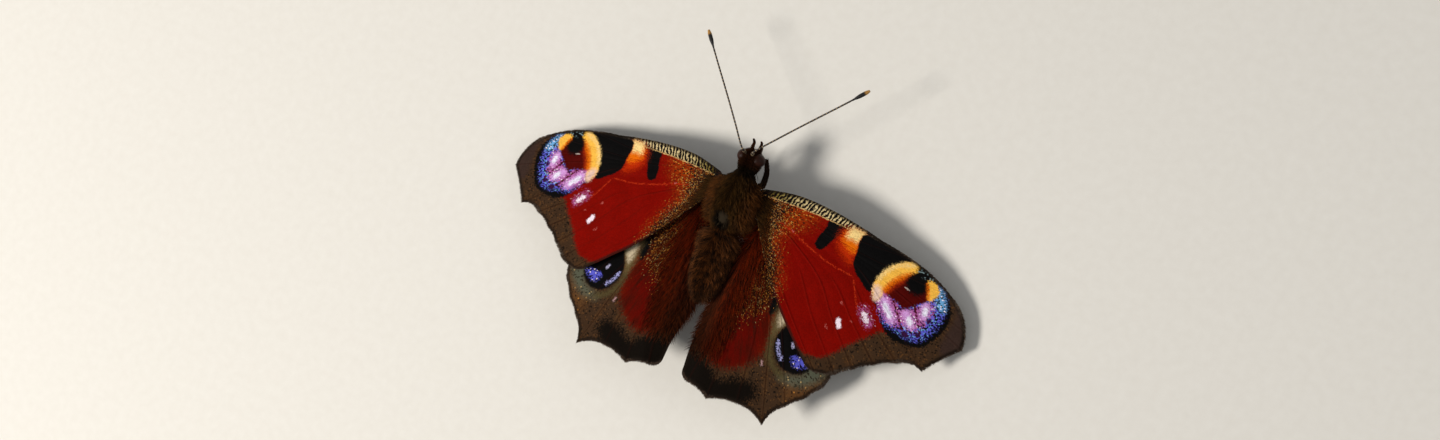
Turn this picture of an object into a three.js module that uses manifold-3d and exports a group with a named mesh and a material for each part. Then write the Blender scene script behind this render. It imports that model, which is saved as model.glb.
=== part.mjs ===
// Peacock butterfly, Aglais io, at rest with all four wings spread and drooping a little.
// Millimetres. The head looks along +Y, the right wings reach along +X and the floor is z = 0. Lengths along Y are
// counted from the hinge of the forewings, and the last lines put the origin under the middle of the outline.
import * as THREE from "three";
import Module from "manifold-3d";

const wasm = await Module();
wasm.setup();

const FINISH = {
  fur: { color: 0x5a3a26, roughness: 0.95, metalness: 0 },
  scales: { color: 0x8c2f1d, roughness: 0.8, metalness: 0 },
  shell: { color: 0x2b211c, roughness: 0.5, metalness: 0 },
  eye: { color: 0x2a1d16, roughness: 0.25, metalness: 0 },
};

// Neighbouring parts face each other across this gap.
const JOINT_GAP = 0.3;

// Body
const HINGE_HEIGHT = 6.4;
const THORAX = {
  front: 1.6,
  rear: -5.3,
  halfWidth: 2.8,
  halfHeight: 2.9,
  neckRadius: 1.05,
  waistRadius: 1.45,
  frontLevel: 6.6,
  rearLevel: 6.35,
  stations: 12,
};
const ABDOMEN = {
  front: THORAX.rear - JOINT_GAP,
  length: 8.5,
  halfWidth: 2,
  halfHeight: 1.95,
  tipRadius: 0.5,
  frontLevel: THORAX.rearLevel,
  tipLevel: 5.55,
  segments: 7,
  groove: 0.1,
  stations: 21,
};
const HEAD = {
  rear: THORAX.front + JOINT_GAP,
  length: 2.4,
  halfWidth: 1.4,
  halfHeight: 1.3,
  faceRadius: 0.75,
  level: 6.45,
  stations: 12,
};
const HEAD_MIDDLE = HEAD.rear + 0.5 * HEAD.length;
const HEAD_FRONT = HEAD.rear + HEAD.length;
const EYE = {
  radius: 0.8,
  bulge: 0.6,
  fromMiddle: 0.9,
  look: [1, 0.3, 0.22],
  ringsAt: [0, 25, 48, 68, 83],
  sides: 16,
};

// Wings: p runs out from the hinge line, q runs back from it, angles are in degrees.
const WING = {
  rootThickness: 0.7,
  edgeThickness: 0.5,
  veinHalfWidth: 0.16,
  veinHeight: 0.13,
  veinUnder: 0.06,
  padDepth: 1.6,
  rows: 12,
};
const FOREWING = {
  hinge: [3.1, 0, HINGE_HEIGHT],
  droop: 11.5,
  rise: 5,
  camber: 0.5,
  length: 28.5,
};
const HINDWING = {
  hinge: [2.85, -3.6, HINGE_HEIGHT - 1.1],
  droop: 8.5,
  rise: 3,
  camber: 0.3,
  length: 21,
  // the strip beside the abdomen dips under it
  trough: { depth: 2.6, starts: 1.5, full: 6, rises: 10.5, ends: 17, left: 0.35, crest: 0.8, bottom: -1.8 },
};
// Each line of a wing runs from the root to the margin through points [p, q]. Its ridge starts at a share of its
// length, and bow is how far the margin swells out before the next line, or is notched where it is negative.
FOREWING.lines = [
  line("costa", 0, 0, [0, -0.7], [4, -1.4], [8.5, -1.2], [12.6, -0.55]),
  line("subcosta", 0, 0.06, [0, -0.35], [4, -0.55], [8.5, -0.45], [14.6, -0.1]),
  line("radius_1", 0.4, 0.3, [0, -0.05], [4, 0.25], [9.5, 0.9], [18.4, 0.6]),
  line("radius_3", 0, 0.42, [0, 0.15], [4, 0.65], [12, 2], [24.3, 2.95]),
  line("radius_4", 0.6, 0.1, [0, 0.3], [4, 0.85], [12.2, 2.5], [20, 4], [27.1, 6.1]),
  line("radius_5", 0.5, -0.15, [0, 0.45], [4, 1], [12.2, 2.8], [20, 5.2], [27.4, 8]),
  line("media_1", 0.42, -0.45, [0, 0.6], [4, 1.2], [12, 3.2], [18, 7], [24.15, 11.85]),
  line("media_2", 0.5, -0.2, [0, 0.85], [4, 1.9], [11.6, 4.4], [16.5, 8.6], [21.2, 12.1]),
  line("media_3", 0.45, -0.2, [0, 1.1], [4, 2.7], [10.8, 5.9], [15, 9.8], [18.9, 13.25]),
  line("cubitus_1", 0, -0.12, [0, 1.35], [4, 3.1], [9.4, 6.4], [12.8, 10.4], [16.9, 14.6]),
  line("cubitus_2", 0.35, 0.1, [0, 1.6], [3.6, 3.3], [6.8, 6.1], [10.5, 10.9], [15.2, 15.9]),
  line("anal", 0, 0.1, [0, 2.1], [3.4, 6.2], [7.2, 10.6], [12.9, 16.45]),
  line("inner_margin", 1, 0, [0, 2.5], [3.7, 7.9], [6.9, 11.7], [11.6, 16.1]),
];
HINDWING.lines = [
  line("costa", 1, 0.15, [0, -0.4], [3.5, -0.5], [8, 2.2], [12, 5.8], [14.6, 9.6]),
  line("subcosta", 0, 0.1, [0, -0.1], [4, 0.9], [9, 4.6], [14.9, 11.9]),
  line("radius", 0, -0.1, [0, 0.15], [4, 1.9], [8.5, 6.2], [14.5, 14.2]),
  line("media_1", 0.35, -0.12, [0, 0.35], [3.8, 2.5], [8, 7.6], [13, 16.2]),
  line("media_2", 0.4, -0.4, [0, 0.55], [3.4, 3.1], [7, 8.6], [11.3, 17.8]),
  line("media_3", 0.35, -0.4, [0, 0.75], [2.9, 3.8], [5.9, 9.2], [9.65, 20.8]),
  line("cubitus_1", 0, -0.25, [0, 0.95], [2.4, 4.2], [4.6, 9.4], [6, 19.6]),
  line("cubitus_2", 0.3, -0.25, [0, 1.15], [1.7, 4.4], [2.6, 9.6], [2.5, 20.45]),
  line("anal", 0, 0.25, [0, 1.4], [1, 4.6], [0.9, 10], [-0.3, 19.5]),
  line("inner_margin", 1, 0, [0, 1.65], [-0.9, 5.2], [-1.75, 9.5], [-1.75, 14.5], [-1.5, 18.6]),
];

// Limbs of the right side. A seat on the body is a share of the body's length and an angle round it in degrees,
// counted up from the right. A limb leaves its seat squarely, runs straight for a little and then through points.
const BOSS = { height: 0.2, depth: 0.4 };
const ANTENNA = {
  seat: { t: 0.75, angle: 72 },
  bossRadius: 0.28,
  straight: 0.6,
  through: [
    [2.7, 6.4, 8.4],
    [4.7, 8.7, 8.1],
    [8.7, 13.2, 7.5],
    [10.6, 15.4, 7.2],
  ],
  shaft: 0.25,
  club: 0.48,
  clubFrom: 0.84,
  stations: 20,
  sides: 8,
};
const PALP = {
  seat: { onFace: [0.46, -0.2] },
  bossRadius: 0.3,
  straight: 0.2,
  through: [
    [0.5, HEAD_FRONT + 1, HEAD.level + 0.05],
    [0.5, HEAD_FRONT + 1.15, HEAD.level + 0.45],
  ],
  rootRadius: 0.3,
  tipRadius: 0.26,
  stations: 6,
  sides: 8,
};
const TONGUE = {
  seat: { t: 0.78, angle: -90 },
  bossRadius: 0.25,
  radius: 0.25,
  curl: 0.7,
  innerCurl: 0.4,
  turn: 225,
  stations: 9,
};
const FOOT_RADIUS = 0.3;
// a limb has six sides with one pair level, so its underside is this far below its middle
const FOOT_LEVEL = FOOT_RADIUS * Math.sin(Math.PI / 3);
const LEG_RADII = [0.42, 0.42, 0.4, 0.38, 0.32, 0.28, 0.28, FOOT_RADIUS, FOOT_RADIUS];
const LEG_BOSS_RADIUS = 0.42;
const FORELEG = {
  seat: { t: 0.17, angle: -62 },
  bossRadius: 0.3,
  straight: 0.35,
  through: [
    [1.5, 1.9, 3.9],
    [1.4, 2.8, 4.2],
    [1.1, 3.7, 4.6],
  ],
  radii: [0.3, 0.3, 0.32, 0.28, 0.25],
};
const MIDLEG = {
  seat: { t: 0.4, angle: -52 },
  bossRadius: LEG_BOSS_RADIUS,
  straight: 0.4,
  through: [
    [3.6, -0.6, 3.95],
    [5.1, -0.3, 3.9],
    [6.2, -0.1, 2.4],
    [6.9, 0, 0.95],
    [7.5, 0.1, FOOT_LEVEL + 0.05],
    [8, 0.15, FOOT_LEVEL],
    [9.2, 0.3, FOOT_LEVEL],
  ],
  radii: LEG_RADII,
};
const HINDLEG = {
  seat: { t: 0.72, angle: -52 },
  bossRadius: LEG_BOSS_RADIUS,
  straight: 0.4,
  through: [
    [3.1, -5.4, 3.9],
    [4.3, -7.1, 3.7],
    [5.1, -9.1, 2.2],
    [5.6, -10.7, 0.95],
    [5.9, -11.6, FOOT_LEVEL + 0.05],
    [6.1, -12.2, FOOT_LEVEL],
    [6.5, -13.4, FOOT_LEVEL],
  ],
  radii: LEG_RADII,
};

const BODY_SIDES = 22;
const LIMB_SIDES = 6;

const rad = THREE.MathUtils.degToRad;
const lerp = THREE.MathUtils.lerp;
const smoothstep = THREE.MathUtils.smoothstep;

function line(name, ridge, bow, ...through) {
  return { name, ridge, bow, through };
}

function vector(point) {
  return new THREE.Vector3(...point);
}

function surface(positions, index) {
  const geometry = new THREE.BufferGeometry();
  geometry.setAttribute("position", new THREE.Float32BufferAttribute(positions, 3));
  geometry.setIndex(index);
  geometry.computeVertexNormals();
  return geometry;
}

// A closed body from rings of points, each ring with the same count, and a flat cap on both ends.
function ringBody(rings) {
  const count = rings[0].length;
  const positions = [];
  const index = [];
  for (const ring of rings) {
    for (const point of ring) {
      positions.push(point.x, point.y, point.z);
    }
  }
  for (let i = 0; i + 1 < rings.length; i++) {
    for (let j = 0; j < count; j++) {
      const next = (j + 1) % count;
      const a = i * count + j;
      const b = i * count + next;
      const c = (i + 1) * count + next;
      const d = (i + 1) * count + j;
      index.push(a, b, c, a, c, d);
    }
  }
  for (const end of [0, rings.length - 1]) {
    const middle = new THREE.Vector3();
    for (const point of rings[end]) {
      middle.addScaledVector(point, 1 / count);
    }
    const centre = positions.length / 3;
    positions.push(middle.x, middle.y, middle.z);
    for (let j = 0; j < count; j++) {
      const here = end * count + j;
      const next = end * count + ((j + 1) % count);
      if (end === 0) {
        index.push(centre, next, here);
      } else {
        index.push(centre, here, next);
      }
    }
  }
  return surface(positions, index);
}

// A round limb along a line of points; one pair of its sides lies level where the line does.
function limb(points, radii, sides = LIMB_SIDES) {
  const rings = points.map((point, i) => {
    const before = points[Math.max(0, i - 1)];
    const after = points[Math.min(points.length - 1, i + 1)];
    const along = after.clone().sub(before).normalize();
    const across = new THREE.Vector3().crossVectors(along, new THREE.Vector3(0, 0, 1)).normalize();
    const up = new THREE.Vector3().crossVectors(across, along);
    const ring = [];
    for (let j = 0; j < sides; j++) {
      const angle = (2 * Math.PI * j) / sides;
      ring.push(
        point
          .clone()
          .addScaledVector(across, radii[i] * Math.cos(angle))
          .addScaledVector(up, -radii[i] * Math.sin(angle)),
      );
    }
    return ring;
  });
  return ringBody(rings);
}

// The outline of each part of the body at the share t of its length from y0 to y1.
const BODIES = {
  thorax: {
    y0: THORAX.front,
    y1: THORAX.rear,
    shape(t) {
      const end = lerp(THORAX.neckRadius, THORAX.waistRadius, t);
      const swell = Math.sin(Math.PI * t) ** 0.55;
      return {
        halfWidth: lerp(end, THORAX.halfWidth, swell),
        halfHeight: lerp(end, THORAX.halfHeight, swell),
        level: lerp(THORAX.frontLevel, THORAX.rearLevel, t),
      };
    },
  },
  abdomen: {
    y0: ABDOMEN.front,
    y1: ABDOMEN.front - ABDOMEN.length,
    shape(t) {
      const end = lerp(THORAX.waistRadius, ABDOMEN.tipRadius, t);
      const swell = Math.sin(Math.PI * t ** 0.75) ** 0.7;
      const fromSeam = Math.abs(t * ABDOMEN.segments - Math.round(t * ABDOMEN.segments));
      const groove = t > 0.02 && t < 0.98 && fromSeam < 0.01 ? ABDOMEN.groove : 0;
      return {
        halfWidth: lerp(end, ABDOMEN.halfWidth, swell) - groove,
        halfHeight: lerp(end, ABDOMEN.halfHeight, swell) - groove,
        level: lerp(ABDOMEN.frontLevel, ABDOMEN.tipLevel, t * t),
      };
    },
  },
  head: {
    y0: HEAD.rear,
    y1: HEAD_FRONT,
    shape(t) {
      const end = lerp(THORAX.neckRadius, HEAD.faceRadius, t);
      const swell = Math.sin(Math.PI * t) ** 0.6;
      return {
        halfWidth: lerp(end, HEAD.halfWidth, swell),
        halfHeight: lerp(end, HEAD.halfHeight, swell),
        level: HEAD.level,
      };
    },
  },
};

function bodyPoint(body, t, angle) {
  const { halfWidth, halfHeight, level } = body.shape(t);
  return new THREE.Vector3(
    halfWidth * Math.cos(angle),
    lerp(body.y0, body.y1, t),
    level + halfHeight * Math.sin(angle),
  );
}

// A place on a body's skin and the direction square to the skin there.
function seatOn(body, seat) {
  if (seat.onFace) {
    const [across, up] = seat.onFace;
    const point = new THREE.Vector3(across, HEAD_FRONT, HEAD.level + up);
    return { point, normal: new THREE.Vector3(0, 1, 0) };
  }
  const angle = rad(seat.angle);
  const step = 0.01;
  const point = bodyPoint(body, seat.t, angle);
  const across = bodyPoint(body, seat.t, angle + step).sub(bodyPoint(body, seat.t, angle - step));
  const along = bodyPoint(body, seat.t + step, angle).sub(bodyPoint(body, seat.t - step, angle));
  const normal = across.cross(along).normalize();
  const outward = new THREE.Vector3(Math.cos(angle), 0, Math.sin(angle));
  if (normal.dot(outward) < 0) {
    normal.negate();
  }
  return { point, normal };
}

function ovalBody(body, stations) {
  const turn = body.y1 > body.y0 ? -1 : 1;
  const rings = [];
  for (let i = 0; i <= stations; i++) {
    const ring = [];
    for (let j = 0; j < BODY_SIDES; j++) {
      ring.push(bodyPoint(body, i / stations, (turn * 2 * Math.PI * j) / BODY_SIDES));
    }
    rings.push(ring);
  }
  return ringBody(rings);
}

function solid(geometry) {
  const { array } = geometry.getAttribute("position");
  return new wasm.Manifold(
    new wasm.Mesh({
      numProp: 3,
      vertProperties: new Float32Array(array),
      triVerts: new Uint32Array(geometry.index.array),
    }),
  );
}

function geometryOf(made) {
  const mesh = made.getMesh();
  return surface(Array.from(mesh.vertProperties), Array.from(mesh.triVerts));
}

function mirrored(geometry) {
  const copy = geometry.clone();
  copy.scale(-1, 1, 1);
  const index = Array.from(copy.index.array);
  for (let i = 0; i < index.length; i += 3) {
    [index[i + 1], index[i + 2]] = [index[i + 2], index[i + 1]];
  }
  copy.setIndex(index);
  return copy;
}

// The same piece as a solid on both sides of the animal.
function onBothSides(geometry) {
  return [solid(geometry), solid(mirrored(geometry))];
}

// The place of a right wing: its own x runs out along p, its y ahead (q runs along -y), its z off the upper face.
function placeWing(object, wing) {
  object.position.set(...wing.hinge);
  object.rotation.set(rad(-wing.rise), rad(wing.droop), 0, "YXZ");
  object.updateMatrix();
  return object;
}

// How far the middle of the wing's thickness lies off its plane.
function wingLift(wing, p, q) {
  const reach = Math.min(1, Math.hypot(p, q) / wing.length);
  const arch = 4 * wing.camber * reach * (1 - reach);
  if (!wing.trough) {
    return arch;
  }
  const { depth, starts, full, rises, ends, left, crest, bottom } = wing.trough;
  const along = smoothstep(q, starts, full) * lerp(1, left, smoothstep(q, rises, ends));
  return arch - depth * along * (1 - smoothstep(p, bottom, crest));
}

// One row of a wing: points across it from the costa to the inner margin, with a ridge height for each.
function wingRow(wing, curves, t) {
  const at = curves.map((curve) => curve.getPointAt(t));
  const towardsMargin = lerp(1, 0.55, t);
  const row = [];
  for (let i = 0; i + 1 < at.length; i++) {
    const { ridge, bow } = wing.lines[i];
    const begun = ridge === 0 ? 1 : smoothstep(t, ridge, ridge + 0.15);
    const height = ridge < 1 ? begun * towardsMargin : 0;
    const chord = at[i + 1].clone().sub(at[i]);
    const outward = new THREE.Vector2(chord.y, -chord.x).normalize();
    const near = Math.min(0.34, WING.veinHalfWidth / chord.length());
    for (const share of [0, near, 0.5, 1 - near]) {
      const swell = 4 * share * (1 - share) * bow * t ** 6;
      const point = at[i].clone().addScaledVector(chord, share).addScaledVector(outward, swell);
      row.push({ p: point.x, q: point.y, ridge: share === 0 ? height : 0 });
    }
  }
  const last = at[at.length - 1];
  row.push({ p: last.x, q: last.y, ridge: 0 });
  return row;
}

// A wing blade: the same triangles on its upper and its under face, joined by a rim.
function wingGeometry(wing) {
  const curves = wing.lines.map(({ through }) => {
    return new THREE.SplineCurve(through.map(([p, q]) => new THREE.Vector2(p, q)));
  });
  const rows = [];
  for (let i = 0; i <= WING.rows; i++) {
    rows.push(wingRow(wing, curves, i / WING.rows));
  }
  const columns = rows[0].length;
  const face = rows.length * columns;
  const positions = [];
  for (const upper of [true, false]) {
    rows.forEach((row, i) => {
      const thinned = Math.min(1, (2 * i) / WING.rows);
      const half = 0.5 * lerp(WING.rootThickness, WING.edgeThickness, thinned);
      for (const { p, q, ridge } of row) {
        const off = upper ? half + WING.veinHeight * ridge : -half - WING.veinUnder * ridge;
        positions.push(p, -q, wingLift(wing, p, q) + off);
      }
    });
  }
  const index = [];
  const quad = (a, b, c, d) => index.push(a, b, c, a, c, d);
  for (let i = 0; i < WING.rows; i++) {
    for (let j = 0; j + 1 < columns; j++) {
      const a = i * columns + j;
      const b = a + 1;
      const c = a + columns + 1;
      const d = a + columns;
      quad(a, b, c, d);
      // the under face is split along the same corners as the upper one
      index.push(face + a, face + c, face + b, face + a, face + d, face + c);
    }
  }
  for (let j = 0; j + 1 < columns; j++) {
    quad(face + j, face + j + 1, j + 1, j);
    const end = WING.rows * columns + j;
    quad(end, end + 1, face + end + 1, face + end);
  }
  for (let i = 0; i < WING.rows; i++) {
    const near = i * columns;
    quad(near, near + columns, face + near + columns, face + near);
    const far = near + columns - 1;
    quad(face + far, face + far + columns, far + columns, far);
  }
  return surface(positions, index);
}

// A block of half sizes a and b between two levels of its own z.
function block(a, b, z0, z1) {
  const corners = [[-a, -b], [a, -b], [a, b], [-a, b]];
  return ringBody([z0, z1].map((z) => corners.map(([x, y]) => new THREE.Vector3(x, y, z))));
}

// The flat pad of the thorax that a wing's root faces.
function wingPad(wing) {
  const first = wing.lines[0].through[0][1];
  const last = wing.lines[wing.lines.length - 1].through[0][1];
  const middle = 0.5 * (first + last);
  const pad = block(0.5 * WING.rootThickness, 0.5 * (last - first), -WING.padDepth, 0);
  pad.rotateY(0.5 * Math.PI);
  pad.translate(-JOINT_GAP, -middle, wingLift(wing, 0, middle));
  pad.applyMatrix4(placeWing(new THREE.Object3D(), wing).matrix);
  return pad;
}

// The low boss on the body that a limb's first face looks at.
function boss(body, part) {
  const { point, normal } = seatOn(body, part.seat);
  const top = point.clone().addScaledVector(normal, BOSS.height);
  const bottom = point.clone().addScaledVector(normal, -BOSS.depth);
  return limb([bottom, top], [part.bossRadius, part.bossRadius]);
}

// Where a limb begins, a gap away from its boss, and the direction it leaves in.
function limbStart(body, part) {
  const { point, normal } = seatOn(body, part.seat);
  return { start: point.addScaledVector(normal, BOSS.height + JOINT_GAP), normal };
}

function limbLine(body, part) {
  const { start, normal } = limbStart(body, part);
  const second = start.clone().addScaledVector(normal, part.straight);
  return [start, second, ...part.through.map(vector)];
}

function smoothLine(body, part) {
  const curve = new THREE.CatmullRomCurve3(limbLine(body, part), false, "centripetal");
  return curve.getSpacedPoints(part.stations);
}

function thoraxGeometry() {
  let made = solid(ovalBody(BODIES.thorax, THORAX.stations));
  const joined = [
    ...[FOREWING, HINDWING].map(wingPad),
    ...[FORELEG, MIDLEG, HINDLEG].map((leg) => boss(BODIES.thorax, leg)),
  ];
  for (const piece of joined.flatMap(onBothSides)) {
    made = made.add(piece);
  }
  return geometryOf(made);
}

// The place of the right eye: it looks out and a little ahead and up, on a flat seat on the side of the head.
function placeEye(object, gap) {
  const out = vector(EYE.look).normalize();
  object.position.set(0, HEAD_MIDDLE, HEAD.level).addScaledVector(out, EYE.fromMiddle + gap);
  object.quaternion.setFromUnitVectors(new THREE.Vector3(0, 0, 1), out);
  object.updateMatrix();
  return object;
}

function headGeometry() {
  let made = solid(ovalBody(BODIES.head, HEAD.stations));
  const cutter = block(2, 2, 0, 2);
  cutter.applyMatrix4(placeEye(new THREE.Object3D(), 0).matrix);
  for (const cut of onBothSides(cutter)) {
    made = made.subtract(cut);
  }
  for (const piece of [ANTENNA, PALP].flatMap((part) => onBothSides(boss(BODIES.head, part)))) {
    made = made.add(piece);
  }
  made = made.add(solid(boss(BODIES.head, TONGUE)));
  return geometryOf(made);
}

// A dome that stands on its own z = 0.
function eyeGeometry() {
  const rings = EYE.ringsAt.map((turn) => {
    const radius = EYE.radius * Math.cos(rad(turn));
    const height = EYE.bulge * Math.sin(rad(turn));
    const ring = [];
    for (let j = 0; j < EYE.sides; j++) {
      const angle = (2 * Math.PI * j) / EYE.sides;
      ring.push(new THREE.Vector3(radius * Math.cos(angle), radius * Math.sin(angle), height));
    }
    return ring;
  });
  return ringBody(rings);
}

function antennaGeometry() {
  const points = smoothLine(BODIES.head, ANTENNA);
  const radii = points.map((_, i) => {
    const t = i / ANTENNA.stations;
    const swell = smoothstep(t, ANTENNA.clubFrom, ANTENNA.clubFrom + 0.08);
    const close = 1 - smoothstep(t, 0.95, 1.05);
    return lerp(ANTENNA.shaft, ANTENNA.club, swell * close);
  });
  return limb(points, radii, ANTENNA.sides);
}

function palpGeometry() {
  const points = smoothLine(BODIES.head, PALP);
  const radii = points.map((_, i) => lerp(PALP.rootRadius, PALP.tipRadius, i / PALP.stations));
  return limb(points, radii, PALP.sides);
}

function legGeometry(leg) {
  return limb(limbLine(BODIES.thorax, leg), leg.radii);
}

// The tongue: a curl in the middle plane that leaves the chin, turns ahead and then back inwards.
function tongueGeometry() {
  const { start, normal } = limbStart(BODIES.head, TONGUE);
  const ahead = new THREE.Vector3(0, -normal.z, normal.y);
  const centre = start.clone().addScaledVector(ahead, TONGUE.curl);
  const first = Math.atan2(start.z - centre.z, start.y - centre.y);
  const rings = [];
  for (let i = 0; i <= TONGUE.stations; i++) {
    const t = i / TONGUE.stations;
    const angle = first + rad(TONGUE.turn) * t;
    const out = new THREE.Vector3(0, Math.cos(angle), Math.sin(angle));
    const middle = centre.clone().addScaledVector(out, lerp(TONGUE.curl, TONGUE.innerCurl, t));
    const ring = [];
    for (let j = 0; j < LIMB_SIDES; j++) {
      const round = (2 * Math.PI * j) / LIMB_SIDES;
      const aside = new THREE.Vector3(-TONGUE.radius * Math.sin(round), 0, 0);
      ring.push(middle.clone().addScaledVector(out, TONGUE.radius * Math.cos(round)).add(aside));
    }
    rings.push(ring);
  }
  return ringBody(rings);
}

function meshOf(name, geometry, finish) {
  const mesh = new THREE.Mesh(geometry, new THREE.MeshStandardMaterial(finish));
  mesh.name = name;
  return mesh;
}

// A mesh whose own origin is a point of the animal, for a geometry made in the animal's frame.
function meshAt(name, geometry, point, finish) {
  geometry.translate(-point.x, -point.y, -point.z);
  const mesh = meshOf(name, geometry, finish);
  mesh.position.copy(point);
  return mesh;
}

function bodyMesh(name, geometry, finish) {
  const body = BODIES[name];
  return meshAt(name, geometry, new THREE.Vector3(0, body.y0, body.shape(0).level), finish);
}

// Wings, eye, antenna, palp and legs of the right side, each with the name of its side.
function sideGroup(name) {
  const group = new THREE.Group();
  group.name = name + "_side";
  group.add(placeWing(meshOf("forewing_" + name, wingGeometry(FOREWING), FINISH.scales), FOREWING));
  group.add(placeWing(meshOf("hindwing_" + name, wingGeometry(HINDWING), FINISH.scales), HINDWING));
  group.add(placeEye(meshOf("eye_" + name, eyeGeometry(), FINISH.eye), JOINT_GAP));
  const limbs = [
    ["antenna_", BODIES.head, ANTENNA, antennaGeometry(), FINISH.shell],
    ["palp_", BODIES.head, PALP, palpGeometry(), FINISH.fur],
    ["foreleg_", BODIES.thorax, FORELEG, legGeometry(FORELEG), FINISH.shell],
    ["midleg_", BODIES.thorax, MIDLEG, legGeometry(MIDLEG), FINISH.shell],
    ["hindleg_", BODIES.thorax, HINDLEG, legGeometry(HINDLEG), FINISH.shell],
  ];
  for (const [kind, body, part, geometry, finish] of limbs) {
    group.add(meshAt(kind + name, geometry, limbStart(body, part).start, finish));
  }
  return group;
}

const animal = new THREE.Group();
animal.add(bodyMesh("thorax", thoraxGeometry(), FINISH.fur));
animal.add(bodyMesh("abdomen", ovalBody(BODIES.abdomen, ABDOMEN.stations), FINISH.fur));
animal.add(bodyMesh("head", headGeometry(), FINISH.fur));
animal.add(meshAt("tongue", tongueGeometry(), limbStart(BODIES.head, TONGUE).start, FINISH.shell));
const rightSide = sideGroup("right");
const leftSide = sideGroup("left");
leftSide.scale.x = -1;
animal.add(rightSide, leftSide);

// The origin goes on the floor, under the middle of the outline.
const outline = new THREE.Box3().setFromObject(animal);
const middle = outline.getCenter(new THREE.Vector3());
animal.position.set(-middle.x, -middle.y, -outline.min.z);

const root = new THREE.Group();
root.name = "peacock_butterfly";
root.add(animal);

export default root;
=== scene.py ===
# Peacock butterfly, Aglais io, at rest with all four wings spread, seen from above and a little from its
# right. Lengths in this file are millimetres unless a name says otherwise. The head looks along +Y and the
# right wings reach along +X. Positions along y are counted from the hinge of the forewings, as in the solids.
import math

import bmesh
import bpy
import numpy as np
from mathutils import Matrix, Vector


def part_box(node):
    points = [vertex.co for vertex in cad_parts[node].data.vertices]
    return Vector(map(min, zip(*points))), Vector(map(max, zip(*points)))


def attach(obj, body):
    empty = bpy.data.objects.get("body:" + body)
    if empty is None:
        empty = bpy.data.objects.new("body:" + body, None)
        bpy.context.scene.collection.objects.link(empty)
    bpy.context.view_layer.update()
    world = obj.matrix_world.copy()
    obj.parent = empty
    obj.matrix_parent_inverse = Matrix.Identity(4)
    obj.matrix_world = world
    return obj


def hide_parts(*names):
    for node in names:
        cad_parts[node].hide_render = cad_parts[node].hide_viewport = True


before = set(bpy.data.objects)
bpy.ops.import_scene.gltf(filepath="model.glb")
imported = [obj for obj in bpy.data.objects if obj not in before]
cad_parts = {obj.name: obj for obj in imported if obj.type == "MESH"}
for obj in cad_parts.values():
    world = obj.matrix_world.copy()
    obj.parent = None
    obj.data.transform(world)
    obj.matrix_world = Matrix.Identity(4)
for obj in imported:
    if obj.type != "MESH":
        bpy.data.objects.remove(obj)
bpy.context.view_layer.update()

MM = 0.001
SIDES = {"right": 1.0, "left": -1.0}

# Body, as in the solids. Skew, fullness and sag say how each part swells and sinks along its length.
HINGE_HEIGHT = 6.4
JOINT_GAP = 0.3
BOSS_HEIGHT = 0.2
THORAX = dict(
    front=1.6, rear=-5.3, width=2.8, height=2.9, first=1.05, last=1.45, level=(6.6, 6.35),
    skew=1.0, fullness=0.55, sag=1.0,
)
ABDOMEN = dict(
    front=-5.6, rear=-14.1, width=2.0, height=1.95, first=1.45, last=0.5, level=(6.35, 5.55),
    skew=0.75, fullness=0.7, sag=2.0,
)
HEAD = dict(
    front=4.3, rear=1.9, width=1.4, height=1.3, first=1.05, last=0.75, level=(6.45, 6.45),
    skew=1.0, fullness=0.6, sag=1.0,
)
BODY = {"head": HEAD, "thorax": THORAX, "abdomen": ABDOMEN}
ABDOMEN_SEGMENTS = 7
ABDOMEN_LENGTH = ABDOMEN["front"] - ABDOMEN["rear"]
PLATE = dict(y=-3.95, squash=0.72)
EYE = dict(radius=0.8, bulge=0.6, from_middle=0.9, look=(1.0, 0.3, 0.22), head_middle=3.1)

# The skin under the coat
COAT_DEPTH = {"head": 0.3, "thorax": 0.68, "abdomen": 0.32}
NECK_RADIUS = 0.62
WAIST_RADIUS = 0.95
SKIN_STATIONS = 190
SKIN_SIDES = 72
SKIN_SMOOTHING = 0.3

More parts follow.
